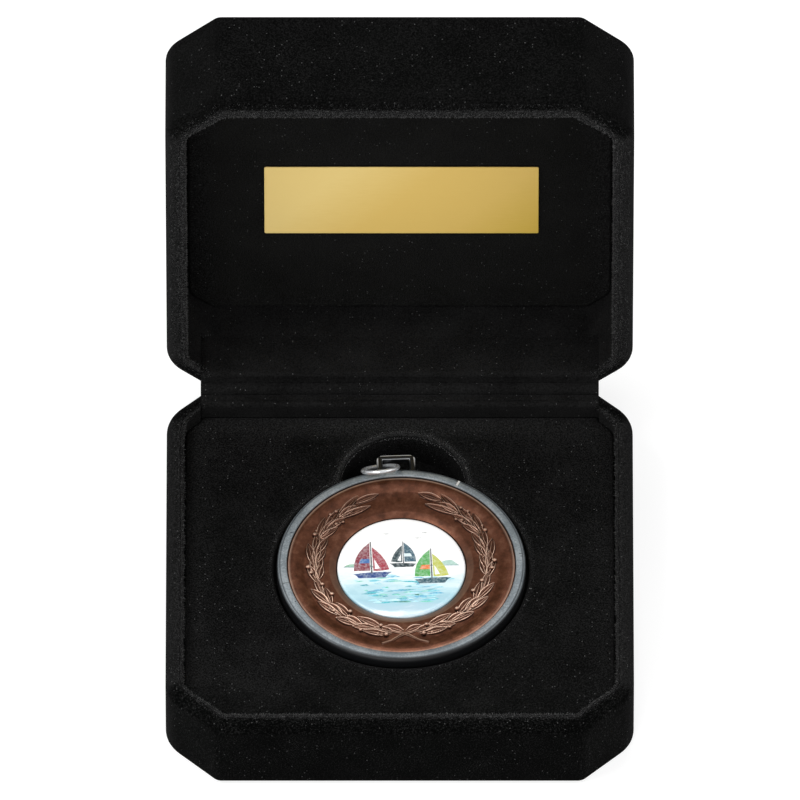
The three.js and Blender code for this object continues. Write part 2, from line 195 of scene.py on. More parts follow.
def ring(corners, height, steps=8):
    """A closed line at one height through corners that are rounded by arcs. A hollow corner stays sharp."""
    points = []
    for i, (cx, cy, size) in enumerate(corners):
        corner = Vector((cx, cy))
        arriving = (corner - Vector(corners[i - 1][:2])).normalized()
        leaving = (Vector(corners[(i + 1) % len(corners)][:2]) - corner).normalized()
        if arriving.cross(leaving) <= 0:
            points += [(cx, cy, height)] * (steps + 1)
            continue
        turn = arriving.angle(leaving)
        start = corner - arriving * size * tan(turn / 2)
        inward = Vector((-arriving.y, arriving.x))
        centre = start + inward * size
        heading = atan2(-inward.y, -inward.x)
        for k in range(steps + 1):
            angle = heading + turn * k / steps
            points.append((centre.x + size * cos(angle), centre.y + size * sin(angle), height))
    return points


def case_ring(inset, height, steps=8):
    return ring(plan_corners(inset), height, steps)


def quarter(edge, size, steps=4):
    """A rounded edge as pairs of how far in and how far down each step lies, from the side to the top."""
    turns = [radians(90 * k / steps) for k in range(steps + 1)]
    return [(edge + size * (1 - cos(t)), size * (1 - sin(t))) for t in turns]


weld, sliver = 1e-4, 1e-5


def solid(name, points, faces):
    """A closed mesh in millimetres, its doubles merged and its faces turned outwards."""
    mesh = bpy.data.meshes.new(name)
    mesh.from_pydata(points, [], faces)
    work = bmesh.new()
    work.from_mesh(mesh)
    bmesh.ops.remove_doubles(work, verts=work.verts, dist=weld)
    bmesh.ops.dissolve_degenerate(work, edges=work.edges, dist=sliver)
    bmesh.ops.recalc_face_normals(work, faces=work.faces)
    work.to_mesh(mesh)
    work.free()
    return new_object(name, mesh)


def bands(rings, closed=False):
    """The faces between rings of equally many points, and back to the first ring where they close."""
    count = len(rings[0])
    faces = []
    for r in range(len(rings) if closed else len(rings) - 1):
        low, high = r * count, (r + 1) % len(rings) * count
        faces += [(low + k, low + (k + 1) % count, high + (k + 1) % count, high + k) for k in range(count)]
    return faces


def lofted(name, rings):
    """A closed solid through rings of equally many points, capped at its first and last ring."""
    count = len(rings[0])
    points = [point for each in rings for point in each]
    caps = [tuple(range(count)), tuple(range(len(points) - count, len(points)))]
    return solid(name, points, caps + bands(rings))


def looped(name, rings):
    """A closed solid whose rings come back to the first one, such as a wall or a turned hoop."""
    return solid(name, [point for each in rings for point in each], bands(rings, closed=True))


def evaluated(body):
    """A plain mesh of what a body's modifiers make of it."""
    view = bpy.context.evaluated_depsgraph_get()
    return bpy.data.meshes.new_from_object(body.evaluated_get(view), depsgraph=view)


def combined(body, operation, *tools):
    """Joins the tools to a body or cuts them out of it, and removes them."""
    for tool in tools:
        step = body.modifiers.new("step", "BOOLEAN")
        step.operation = operation
        step.solver = "EXACT"
        step.object = tool
    mesh = evaluated(body)
    body.modifiers.clear()
    body.data = mesh
    for tool in tools:
        bpy.data.objects.remove(tool)
    return body


def block(low, high):
    """A block between two corners, as a tool to cut with."""
    plan = ((low[0], low[1]), (high[0], low[1]), (high[0], high[1]), (low[0], high[1]))
    return lofted("tool", [[(x, y, z) for x, y in plan] for z in (low[2], high[2])])


def circle(radius, steps, along):
    """The points of a circle about the origin, square to a direction."""
    turn = along.to_track_quat("Z", "Y").to_matrix()
    headings = [2 * pi * k / steps for k in range(steps)]
    return [turn @ Vector((radius * cos(t), radius * sin(t), 0)) for t in headings]


def rod(radius, start, end, steps=40):
    """A round bar between two points, as a tool or a small part."""
    start, end = Vector(start), Vector(end)
    rim = circle(radius, steps, end - start)
    return lofted("tool", [[tuple(start + p) for p in rim], [tuple(end + p) for p in rim]])


def marked(body, name, amount):
    """Writes an amount on each point of a mesh in millimetres, for its material to read."""
    layer = body.data.attributes.new(name, "FLOAT", "POINT")
    layer.data.foreach_set("value", [amount(*point.co) for point in body.data.vertices])


def placed(body, place, material, smooth_below=38):
    """Puts a finished mesh in its place in metres, with its shading and material."""
    body.data.transform(place)
    body.data.shade_smooth()
    body.data.set_sharp_from_angle(angle=radians(smooth_below))
    body.data.materials.clear()
    body.data.materials.append(material)
    return body


def flocked(name, deep, tip, nap, low=0.38, high=0.66):
    """Nylon flock blown upright onto a glued surface: almost black where the pile stands close,
    greyer where a 'lip' amount is marked, a painted sheen for the open pile over an edge, with
    specks of grey that are painted glints of single fibres. The real grain is about 0.05 mm and is drawn as coarse as
    it shows."""
    grain, patch_width, fibre_spacing, fibre_size, fibre_rarity = 0.28, 9, 0.5, 0.19, 0.93
    material = bpy.data.materials.new(name)
    tree = cleared(material)
    place = add(tree, "ShaderNodeTexCoord").outputs["Object"]
    pile = add(tree, "ShaderNodeTexNoise", {"Scale": 1 / (grain * MM), "Detail": 3, "Roughness": 0.75},
               {"Vector": place})
    patch = add(tree, "ShaderNodeTexNoise", {"Scale": 1 / (patch_width * MM), "Detail": 4, "Roughness": 0.6},
                {"Vector": place})
    mixed = add(tree, "ShaderNodeMath", {1: nap}, {0: patch.outputs["Fac"], 2: pile.outputs["Fac"]},
                operation="MULTIPLY_ADD")
    close = add(tree, "ShaderNodeValToRGB", links={"Fac": mixed.outputs[0]},
                stops=[(low + nap / 2, deep), (high + nap / 2, tip)])
    # Painted sheen: paler greys where a 'lip' amount is marked, brighter still where it passes 1.
    sheen_tones = add(tree, "ShaderNodeValToRGB", links={"Fac": pile.outputs["Fac"]},
                 stops=[(0.38, "#0b0b0b"), (0.5, "#171717"), (0.64, "#2b2b2b")])
    lip = add(tree, "ShaderNodeAttribute", attribute_name="lip")
    sheen_scale = add(tree, "ShaderNodeMath", {1: 1}, {0: lip.outputs["Fac"]}, operation="MAXIMUM")
    lit = add(tree, "ShaderNodeVectorMath", links={0: sheen_tones.outputs["Color"], "Scale": sheen_scale.outputs[0]},
              operation="SCALE")
    painted_sheen = add(tree, "ShaderNodeMix", links={
        "Factor": lip.outputs["Fac"], "A": close.outputs["Color"], "B": lit.outputs[0]}, data_type="RGBA")
    # Painted glints: a few pale specks, one in some cells of a pattern.
    cells = add(tree, "ShaderNodeTexVoronoi", {"Scale": 1 / (fibre_spacing * MM)}, {"Vector": place})
    near = add(tree, "ShaderNodeMath", {1: fibre_size}, {0: cells.outputs["Distance"]}, operation="LESS_THAN")
    rare = add(tree, "ShaderNodeSeparateColor", links={"Color": cells.outputs["Color"]})
    picked = add(tree, "ShaderNodeMath", {1: fibre_rarity}, {0: rare.outputs[0]}, operation="GREATER_THAN")
    painted_glint = add(tree, "ShaderNodeMath", links={0: near.outputs[0], 1: picked.outputs[0]}, operation="MULTIPLY")
    colour = add(tree, "ShaderNodeMix", {"B": linear("#565656")},
                 {"Factor": painted_glint.outputs[0], "A": painted_sheen.outputs["Result"]}, data_type="RGBA")
    bump = add(tree, "ShaderNodeBump", {"Strength": 0.8, "Distance": 0.12 * MM}, {"Height": pile.outputs["Fac"]})
    surface = add(tree, "ShaderNodeBsdfPrincipled", {
        "Roughness": 0.95, "Specular IOR Level": 0.03, "Sheen Weight": 0.012, "Sheen Roughness": 0.35,
        "Sheen Tint": linear("#cccccc")}, {"Base Color": colour.outputs["Result"], "Normal": bump.outputs["Normal"]})
    add(tree, "ShaderNodeOutputMaterial", links={"Surface": surface.outputs[0]})
    return material


# The base's flock is a darker copy of the lid's: painted shade, mostly on its front wall.
shell_flock = {
    "base": flocked("black nylon flock on the base's moulded styrene", "#000000", "#262626", 0.15, 0.52, 0.72),
    "lid": flocked("black nylon flock on the lid's moulded styrene", "#010101", "#1b1b1b", 0.15, 0.46, 0.72),
}


def smooth(low, high, value):
    """0 below one value, 1 above another, with a soft change between them."""
    t = min(max((value - low) / (high - low), 0), 1)
    return t * t * (3 - 2 * t)


def edge_distances(x, y):
    """How far a place of the plan lies inside the side, the end and the chamfer nearest to it."""
    across, along = chamfers[1 if y > 0 else -1]
    slant = along * (case_width / 2 - abs(x)) + across * (case_depth / 2 - along - abs(y))
    return case_width / 2 - abs(x), case_depth / 2 - abs(y), slant / hypot(across, along)


def lip_pile(x, y, z):
    """How much painted sheen a shell's flock gets where its pile stands open: over the whole round of a side lip, on
    the flat elsewhere.
    """
    side, end, slant = edge_distances(x, y)
    at_side = smooth(0, 1.5, min(end, slant) - side)
    flat = smooth(-0.5, -0.05, z) * smooth(2.0, 3.8, min(side, end, slant))
    return max(at_side * smooth(-2.1, -0.7, z), flat)


def shell_rings(height):
    """The rings of a shell, from its underside round the outside and lip to its inner floor."""
    foot = [radians(15 * k) for k in range(7)]
    section = [(foot_flat, -height)]
    section += [(foot_round * (1 - sin(t)), foot_round * (1 - cos(t)) - height) for t in foot]
    section += [(0, -height * flank_share)]
    section += [(inset, -down) for inset, down in quarter(0, lip_round, 8)]
    section += [(shell_wall - inset, -down) for inset, down in reversed(quarter(0, shell_edge))]
    section += [(shell_wall, below_edge), (shell_wall, floor_sheet - height)]
    return [case_ring(inset, z) for inset, z in section]


def gridded(body, low, high, step, height):
    """Cuts the flat faces at one height along a square grid, so that amounts on its points can vary across them."""
    work = bmesh.new()
    work.from_mesh(body.data)
    for axis in (Vector((1, 0, 0)), Vector((0, 1, 0))):
        for k in range(int((high - low) / step) + 1):
            flat = [face for face in work.faces
                    if abs(face.normal.z) > 0.99 and abs(face.calc_center_median().z - height) < 1e-3]
            edges = {edge for face in flat for edge in face.edges}
            points = {point for face in flat for point in face.verts}
            bmesh.ops.bisect_plane(work, geom=[*flat, *edges, *points], dist=weld, plane_co=axis * (low + k * step),
                                   plane_no=axis)
    work.to_mesh(body.data)
    work.free()


def leaf_room():
    """The room of a hinge leaf across the inside of the back wall."""
    half, outside = half_hinge + seam, leaf_plane + leaf_sheet + seam
    return block((-half, hinge_y - wall_room - corner_room, -leaf_depth - seam), (half, outside, past))


lip_share = {"base": 0.8, "lid": 0.95}
for half, height, place in halves:
    reach = half_hinge + seam
    rebate = block((-reach, leaf_plane + leaf_sheet / 2, -leaf_sheet - seam), (reach, hinge_y + past, past))
    barrel_seat = rod(barrel_radius + barrel_room, (-reach, hinge_y, hinge_rise), (reach, hinge_y, hinge_rise))
    shell = lofted(f"{half}_case_shell", shell_rings(height))
    combined(shell, "DIFFERENCE", leaf_room(), rebate, barrel_seat)
    marked(shell, "lip", lambda x, y, z: lip_pile(x, y, z) * lip_share[half])
    placed(shell, place, shell_flock[half])
    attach(shell, half)
    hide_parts(f"{half}_shell")

# Inner walls
# A thin flocked wall stands inside each shell up to the lip and shows as a fine inner edge,
# which swells inwards a little along the base's front and the lid's far end.
# The inner walls' flock is a paler copy of the shells': painted light on walls that stand in shade.
liner_flock = flocked("black nylon flock on thin styrene", "#0b0b0b", "#202020", 0.3)
inner_edge, end_swell, swell_foot = {"base": 3.55, "lid": 4.05}, {"base": 0.35, "lid": 0.8}, -4
liner_edge, liner_outer_edge, seat_gap = 0.3, 0.12, 0.3


def swollen(half, y, z):
    """Where a point of the inner edge lies along the case once the swelling at its end is added."""
    end = case_depth / 2 + y
    share = smooth(8, 4.5, end) * smooth(shell_wall + 0.2, inner_edge[half], end) * smooth(swell_foot, below_edge, z)
    return y + end_swell[half] * share


for half, height, place in halves:
    outside, inside, foot = shell_wall + seam, inner_edge[half], floor_sheet + seat_gap - height
    section = [(outside, foot)]
    section += [(inset, -down) for inset, down in quarter(outside, liner_outer_edge)]
    section += [(inside - inset, -down) for inset, down in reversed(quarter(0, liner_edge))]
    section += [(inside, below_edge), (inside, swell_foot), (inside, foot)]
    wall = looped(f"{half}_inner_wall", [case_ring(inset, z) for inset, z in section])
    for point in wall.data.vertices:
        point.co.y = swollen(half, point.co.y, point.co.z)
    combined(wall, "DIFFERENCE", leaf_room())
    # Painted sheen along the top edge of each inner wall.
    marked(wall, "lip", lambda x, y, z: smooth(-0.5, -0.05, z))
    placed(wall, place, liner_flock)
    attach(wall, half)
    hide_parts(f"{half}_liner")

# Hinge
# Two steel leaves line the back walls and bend over the lips to knuckles on one pin. They
# are flocked with the case, so they read as one soft band; the pin, the spring strip under
# the lid's middle knuckle and its two rivets are bright steel.
# Their flock is a paler copy of the shells': painted light on the band at the hinge.
hinge_flock = flocked("black nylon flock on steel", "#0a0a0a", "#1e1e1e", 0.3)
knuckle_count, knuckle_gap, knuckle_root, bend, skin = 5, 0.1, 1.3, 0.9, 0.02
strip_reach, strip_from, strip_to = barrel_radius + 0.08, 5.4, 46.7
strip_turns = [radians(strip_from + (strip_to - strip_from) * k / 5) for k in range(6)]
strip_end = [(hinge_y - strip_reach * cos(t), hinge_rise - strip_reach * sin(t)) for t in strip_turns]
leaf_section = [(leaf_plane, -leaf_depth), (leaf_plane, -leaf_depth / 2)]
leaf_section += [(leaf_plane + across, -down) for across, down in quarter(0, bend, 6)]
leaf_section += strip_end + [(leaf_plane + leaf_sheet, -leaf_sheet), (leaf_plane + leaf_sheet, -leaf_depth)]
pitch = (2 * half_hinge + knuckle_gap) / knuckle_count
for first, (half, _, place) in zip((1, 0), halves):
    leaf = lofted(f"{half}_hinge_leaf", [[(x, y, z) for y, z in leaf_section] for x in (-half_hinge, half_hinge)])
    knuckles = []
    for i in range(first, knuckle_count, 2):
        start = i * pitch - half_hinge
        end = start + pitch - knuckle_gap
        knuckles.append(rod(barrel_radius, (start, hinge_y, hinge_rise), (end, hinge_y, hinge_rise)))
        knuckles.append(block((start, leaf_plane + knuckle_root, -leaf_sheet + skin), (end, hinge_y, -skin)))
    placed(combined(leaf, "UNION", *knuckles), place, hinge_flock)
    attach(leaf, half)
    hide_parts(f"hinge_leaf_{half}")


def round_ring(radius, height, steps, seat=(0, 0)):
    """A level circle about a seat."""
    headings = [2 * pi * k / steps for k in range(steps)]
    return [(seat[0] + radius * cos(t), seat[1] + radius * sin(t), height) for t in headings]


def turned(name, section, steps, seat=(0, 0)):
    """A solid of revolution from a closed section of radii and heights, standing on a seat."""
    return looped(name, [round_ring(radius, height, steps, seat) for radius, height in section])


# Thin black washers on the pin close the joints between the knuckles.
washer_hole, washer_radius, washer_half = 0.62, barrel_radius - 0.004, 0.046
washer_section = [(washer_hole, -washer_half), (washer_radius, -washer_half), (washer_radius, washer_half),
                  (washer_hole, washer_half)]
for i in range(1, knuckle_count):
    washer = turned(f"hinge_washer_{i}", washer_section, 32)
    middle = i * pitch - half_hinge - knuckle_gap / 2
    place = base_place @ Matrix.Translation((middle, hinge_y, hinge_rise)) @ Matrix.Rotation(pi / 2, 4, "Y")
    placed(washer, place, hinge_flock)
    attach(washer, "base")


def metal(name, dark, light, rough, rougher, grain, stretch=(1, 1, 1), bump=0.1, metallic=1.0):
    """A metal whose colour and polish vary along its grain, the grain's size in millimetres."""
    material = bpy.data.materials.new(name)
    tree = cleared(material)
    place = add(tree, "ShaderNodeTexCoord").outputs["Object"]
    along = add(tree, "ShaderNodeMapping", {"Scale": stretch}, {"Vector": place})
    fine = add(tree, "ShaderNodeTexNoise", {"Scale": 1 / (grain * MM), "Detail": 5, "Roughness": 0.6},
               {"Vector": along.outputs[0]})
    polish = add(tree, "ShaderNodeMapRange", {"From Min": 0.3, "From Max": 0.7, "To Min": rough, "To Max": rougher},
                 {"Value": fine.outputs["Fac"]})
    relief = add(tree, "ShaderNodeBump", {"Strength": bump, "Distance": 0.02 * MM}, {"Height": fine.outputs["Fac"]})
    tone = add(tree, "ShaderNodeValToRGB", links={"Fac": fine.outputs["Fac"]}, stops=[(0.3, dark), (0.7, light)])
    surface = add(tree, "ShaderNodeBsdfPrincipled", {"Metallic": metallic}, {
        "Base Color": tone.outputs["Color"], "Roughness": polish.outputs[0], "Normal": relief.outputs["Normal"]})
    add(tree, "ShaderNodeOutputMaterial", links={"Surface": surface.outputs[0]})
    return material


def finished(name, look):
    """Gives a CAD node its material."""
    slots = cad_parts[name].data.materials
    slots.clear()
    slots.append(look)


# Drawing leaves the pin and the spring bright with faint lines along them; the rivets' pressed heads are duller.
steel = metal("drawn spring steel", "#85878b", "#a9abb0", 0.25, 0.4, 0.15, (0.05, 1, 1))
rivet_steel = metal("headed mild steel", "#8c8d90", "#b0b1b5", 0.3, 0.45, 0.3)
for name, look in (("hinge_pin", steel), ("snap_spring", steel), ("spring_rivet_left", rivet_steel),
                   ("spring_rivet_right", rivet_steel)):
    finished(name, look)

# Base insert
# One vacuum-formed sheet under smooth black flock: a flat face, a round recess for the medal
# and a deeper finger notch behind it, their edges rolled over. A foam block carries it.
insert_flock = flocked("black flock on vacuum-formed sheet", "#030303", "#1f1f1f", 0.25, 0.43, 0.7)
insert_inset, insert_back, tray_drop, tray_sheet, tray_skirt, tray_edge = 3.75, 39.85, 3.5, 1, 6, 0.6
well_edge, well_foot, grid_half, grid_step = 0.5, 0.4, 43, 1.25
recess_radius, recess_depth, recess_seat = 25.6, 2.5, (0.33, 0)
notch_radius, notch_depth, notch_seat = 12.6024, 8.05, (0.65, 22.5498)


def insert_ring(inset, height):
    """The insert's plan, which runs on to the back between the ends of the inner wall."""
    right = plan_corners(inset)[:4]
    half, back = half_hinge - (inset - insert_inset), insert_back - (inset - insert_inset)
    side = Vector(right[2][:2])
    slope = (Vector(right[3][:2]) - side).normalized()
    meets = side + slope * ((half - side.x) / slope.x)
    right = right[:3] + [(meets.x, meets.y, 0), (half, back, least_corner)]
    return ring(right + [(-x, y, size) for x, y, size in reversed(right)], height)


def well(radius, depth, steps, seat):
    """The room of a round well in the insert, its rolled edge and softened foot included."""
    low, high = -tray_drop - depth, past - tray_drop
    rolled = [(radius + across, -tray_drop - down) for across, down in quarter(0, well_edge, 6)]
    turns = [radians(22.5 * k) for k in range(5)]
    foot = [(radius - well_foot * (1 - sin(t)), low + well_foot * (1 - cos(t))) for t in turns]
    return turned("tool", [(0, low), *foot, *rolled, (radius + well_edge, high), (0, high)], steps, seat)


def drum(radius, low, high, steps, seat):
    """A plain round drum, as a tool."""
    return turned("tool", [(0, low), (radius, low), (radius, high), (0, high)], steps, seat)


face_section = [(insert_inset, tray_skirt)]
face_section += [(insert_inset + across, down) for across, down in quarter(0, tray_edge, 6)]
tray = lofted("insert_sheet", [insert_ring(inset, -tray_drop - down) for inset, down in face_section])
under = insert_inset + tray_sheet
hollow = lofted("tool", [insert_ring(under, -tray_drop - down) for down in (tray_skirt + 1, tray_sheet)])
cup_low, cup_high = -tray_drop - notch_depth - tray_sheet, -tray_drop - tray_sheet / 2
recess_low = -tray_drop - recess_depth - tray_sheet
cup = drum(notch_radius + tray_sheet, cup_low, cup_high, 96, notch_seat)
dish = drum(recess_radius + tray_sheet, recess_low, cup_high, 128, recess_seat)
combined(tray, "DIFFERENCE", hollow)
combined(tray, "UNION", cup, dish)
combined(tray, "DIFFERENCE", well(recess_radius, recess_depth, 160, recess_seat),
         well(notch_radius, notch_depth, 112, notch_seat))


def tray_painted_light(x, y, z):
    """How much painted light the insert's flock gets: painted sheen round the notch and recess, and painted light
    towards its back and along its sides, where the walls shade it.
    """
    crest = 0.3
    past_notch = abs(hypot(x - notch_seat[0], y - notch_seat[1]) - notch_radius - crest)
    past_recess = abs(hypot(x - recess_seat[0], y) - recess_radius - crest)
    at_notch = smooth(1.6, 0.2, past_notch) * (0.8 + 0.6 * smooth(10, 32, y))
    at_recess = smooth(1.4, 0.2, past_recess) * (0.3 + 0.6 * smooth(-5, 18, y))
    at_back = (0.45 + 0.5 * smooth(30, 12, abs(x))) * smooth(33, 37, y) + 0.12 * smooth(20, 38, y)
    at_side = 0.3 * smooth(36, 42, abs(x))
    return max(at_notch, at_recess, at_back, at_side) * smooth(-4.2, -3.7, z)


gridded(tray, -grid_half, grid_half, grid_step, -tray_drop)
marked(tray, "lip", tray_painted_light)
placed(tray, base_place, insert_flock)
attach(tray, "base")
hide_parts("insert_tray")

# Polyurethane foam, cut from a sheet: open cells, with fine dark pores painted as the shade inside them.
foam_gap, foam_pore = seat_gap, 0.8
foam_look = bpy.data.materials.new("grey polyurethane foam, cut from sheet")
tree = cleared(foam_look)
place = add(tree, "ShaderNodeTexCoord").outputs["Object"]
cells = add(tree, "ShaderNodeTexVoronoi", {"Scale": 1 / (foam_pore * MM)}, {"Vector": place})
bump = add(tree, "ShaderNodeBump", {"Strength": 0.6, "Distance": 0.3 * MM}, {"Height": cells.outputs["Distance"]})
tone = add(tree, "ShaderNodeValToRGB", links={"Fac": cells.outputs["Distance"]},
           stops=[(0.05, "#1c1c1e"), (0.4, "#454548")])
surface = add(tree, "ShaderNodeBsdfPrincipled", {"Roughness": 0.95}, {
    "Base Color": tone.outputs["Color"], "Normal": bump.outputs["Normal"]})
add(tree, "ShaderNodeOutputMaterial", links={"Surface": surface.outputs[0]})
foam_margin = under + 0.35
foam_low, foam_high = floor_sheet + foam_gap - base_height, -tray_drop - tray_sheet - foam_gap
foam = lofted("insert_foam", [insert_ring(foam_margin, z) for z in (foam_low, foam_high)])
foam_room = []
for radius, low, seat in ((recess_radius, recess_low, recess_seat), (notch_radius, cup_low, notch_seat)):
    foam_room.append(rod(radius + tray_sheet + foam_gap, (*seat, low - foam_gap), (*seat, past), 96))
placed(combined(foam, "DIFFERENCE", *foam_room), base_place, foam_look)
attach(foam, "base")
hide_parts("insert_support")

# Stray pile
# Where the flocked surface turns over an edge its fibres stand apart as a fine line, their pale grey a painted
# highlight.
# Real fibres are 0.03 mm thick and 0.6 mm long; they are drawn thicker.
def fibre_look(name, root, end):
    """Single nylon fibres in mottled greys, painted pale as a highlight."""
    material = bpy.data.materials.new(name)
    tree = cleared(material)
    place = add(tree, "ShaderNodeTexCoord").outputs["Object"]
    patch = add(tree, "ShaderNodeTexNoise", {"Scale": 1 / (0.5 * MM), "Detail": 2}, {"Vector": place})
    tone = add(tree, "ShaderNodeValToRGB", links={"Fac": patch.outputs["Fac"]}, stops=[(0.38, root), (0.66, end)])
    surface = add(tree, "ShaderNodeBsdfPrincipled", {"Roughness": 0.55, "Sheen Weight": 0.1, "Sheen Roughness": 0.4},
                  {"Base Color": tone.outputs["Color"]})
    add(tree, "ShaderNodeOutputMaterial", links={"Surface": surface.outputs[0]})
    return material


# Their pale greys are painted highlight, stronger on the fibres round the wells.
lip_fibres = fibre_look("black nylon flock fibres on a lip", "#1c1c1c", "#585858")
edge_fibres = fibre_look("black nylon flock fibres round a well", "#363636", "#a2a2a2")
fibre_tip, least_size, most_size, full_turn = 0.008, 0.45, 1.15, 6.28


def growing(name, **sockets):
    """A new geometry tree with its named inputs, and what they give."""
    tree = bpy.data.node_groups.new(name, "GeometryNodeTree")
    for label, kind in sockets.items():
        tree.interface.new_socket(label, in_out="INPUT", socket_type="NodeSocket" + kind)
    tree.interface.new_socket("Result", in_out="OUTPUT", socket_type="NodeSocketGeometry")
    return tree, add(tree, "NodeGroupInput").outputs


# Density is in fibres to a square millimetre, and the lean is in radians.
pile_tree, given = growing("stray_pile", Surface="Geometry", Density="Float", Length="Float", Thickness="Float",
                           Lean="Float", Seed="Int", Material="Material")
where = add(pile_tree, "GeometryNodeInputNamedAttribute", {"Name": "pile"}, data_type="FLOAT")
thick = add(pile_tree, "ShaderNodeMath", links={0: given["Density"], 1: where.outputs["Attribute"]},
            operation="MULTIPLY")
roots = add(pile_tree, "GeometryNodeDistributePointsOnFaces", links={
    "Mesh": given["Surface"], "Density": thick.outputs[0], "Seed": given["Seed"]})
fibre = add(pile_tree, "GeometryNodeMeshCone", {"Vertices": 3, "Radius Top": fibre_tip},
            {"Radius Bottom": given["Thickness"], "Depth": given["Length"]}, fill_type="NGON")
back = add(pile_tree, "ShaderNodeMath", {1: -1}, {0: given["Lean"]}, operation="MULTIPLY")
least = add(pile_tree, "ShaderNodeCombineXYZ", links={0: back.outputs[0], 1: back.outputs[0]})
most = add(pile_tree, "ShaderNodeCombineXYZ", {2: full_turn}, {0: given["Lean"], 1: given["Lean"]})
leaning = add(pile_tree, "FunctionNodeRandomValue", data_type="FLOAT_VECTOR", links={
    "Min": least.outputs[0], "Max": most.outputs[0], "Seed": given["Seed"]})
lean = add(pile_tree, "FunctionNodeEulerToRotation", links={0: leaning.outputs[0]})
turned_fibre = add(pile_tree, "FunctionNodeRotateRotation", rotation_space="LOCAL", links={
    0: roots.outputs["Rotation"], 1: lean.outputs[0]})
size = add(pile_tree, "FunctionNodeRandomValue", {"Min": least_size, "Max": most_size}, {"Seed": given["Seed"]},
           data_type="FLOAT")
grown = add(pile_tree, "GeometryNodeInstanceOnPoints", links={
    "Points": roots.outputs["Points"], "Instance": fibre.outputs["Mesh"], "Rotation": turned_fibre.outputs[0],
    "Scale": size.outputs[1]})
real = add(pile_tree, "GeometryNodeRealizeInstances", links={0: grown.outputs[0]})
set_look = add(pile_tree, "GeometryNodeSetMaterial", links={"Geometry": real.outputs[0], "Material": given["Material"]})
add(pile_tree, "NodeGroupOutput", links={0: set_look.outputs[0]})


def grown_on(name, ground, tree, values):
    """What a geometry tree makes of a mesh, as a plain mesh of its own. The ground is removed."""
    growth = ground.modifiers.new("growth", "NODES")
    growth.node_group = tree
    for item in tree.interface.items_tree:
        if item.in_out == "INPUT" and item.name in values:
            growth[item.identifier] = values[item.name]
    mesh = evaluated(ground)
    ground.modifiers.remove(growth)
    bpy.data.objects.remove(ground)
    return new_object(name, mesh)


def pile_strip(rings, lines, share):
    """An open strip through rings that carries the pile of each ring's line, shared out over the plan."""
    mesh = bpy.data.meshes.new("strip")
    points = [point for each in rings for point in each]
    mesh.from_pydata(points, [], bands(rings))
    pile = mesh.attributes.new("pile", "FLOAT", "POINT")
    spread = [amount for *_, amount in lines for _ in rings[0]]
    pile.data.foreach_set("value", [share(x, y) * amount for (x, y, _), amount in zip(points, spread)])
    return new_object("strip", mesh)


# Each line along a lip: how far in it lies, its height and how thick the pile stands on it.
lip_lines = {
    "base": [(0.9, -0.35, 0.0), (2.2, 0, 0.1), (2.6, 0, 0.5), (2.9, 0, 0.5), (3.3, 0, 0.8), (3.5, -0.12, 1.0),
             (3.55, -0.8, 0.0)],
    "lid": [(0.9, -0.35, 0.1), (2.2, 0, 0.25), (2.6, 0, 0.7), (3.2, 0, 0.8), (3.7, 0, 1.1), (4.0, -0.15, 1.2),
            (4.05, -0.9, 0.0)],
}
side_share, end_share = {"base": 0.65, "lid": 1.0}, 1.3
lip_growth = {"Density": 18.0, "Length": 0.45, "Thickness": 0.03, "Lean": 0.6, "Material": lip_fibres}
# The closed lid presses the pile on the lips down to less than half the gap between them.
pressed_pile = 0.93 * hinge_rise


def lip_pile_share(half, x, y):
    """None where the hinge band covers the lip, more at the end away from it than at the sides."""
    if y > 36 and abs(x) < half_hinge:
        return 0
    return side_share[half] + (end_share - side_share[half]) * smooth(-36, -40, y)


for seed, (half, _, place) in zip((3, 8), halves):
    lines = lip_lines[half]
    rings = [[(x, swollen(half, y, z), z) for x, y, z in case_ring(inset, z, 3)] for inset, z, _ in lines]
    strip = pile_strip(rings, lines, lambda x, y: lip_pile_share(half, x, y))
    fibres = grown_on(f"{half}_lip_pile", strip, pile_tree, {**lip_growth, "Seed": seed})
    for point in fibres.data.vertices:
        if point.co.z > 0:
            point.co.z = pressed_pile * (1 - exp(-point.co.z / pressed_pile))
    fibres.data.transform(place)
    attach(fibres, half)

# Each line round a well: how far outside its wall it lies, how far down and how thick the pile stands on it.
edge_lines = {
    "notch": [(-0.1, 1.2, 0.0), (0.02, 0.5, 1.3), (0.5, 0, 2.1), (0.9, 0, 0.9), (1.5, 0, 0.0)],
    "recess": [(0.02, 0.5, 0.6), (0.5, 0, 1.4), (1.3, 0, 0.0)],
}
wells = {"notch": (notch_radius, notch_seat), "recess": (recess_radius, recess_seat)}
edge_growth = {"Density": 30.0, "Length": 0.62, "Thickness": 0.038, "Lean": 0.85, "Material": edge_fibres}


def edge_pile_share(other, x, y):
    """None where the other well opens, less at the front than at the back."""
    radius, seat = wells[other]
    if hypot(x - seat[0], y - seat[1]) < radius + 0.6:
        return 0
    return 0.35 + 0.65 * smooth(-5, 15, y)


for part, other, seed in (("notch", "recess", 5), ("recess", "notch", 6)):
    (radius, seat), lines = wells[part], edge_lines[part]
    rings = [round_ring(radius + out, -tray_drop - down, 120, seat) for out, down, _ in lines]
    strip = pile_strip(rings, lines, lambda x, y: edge_pile_share(other, x, y))
    fibres = grown_on(f"{part}_edge_pile", strip, pile_tree, {**edge_growth, "Seed": seed})
    fibres.data.transform(base_place)
    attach(fibres, "base")

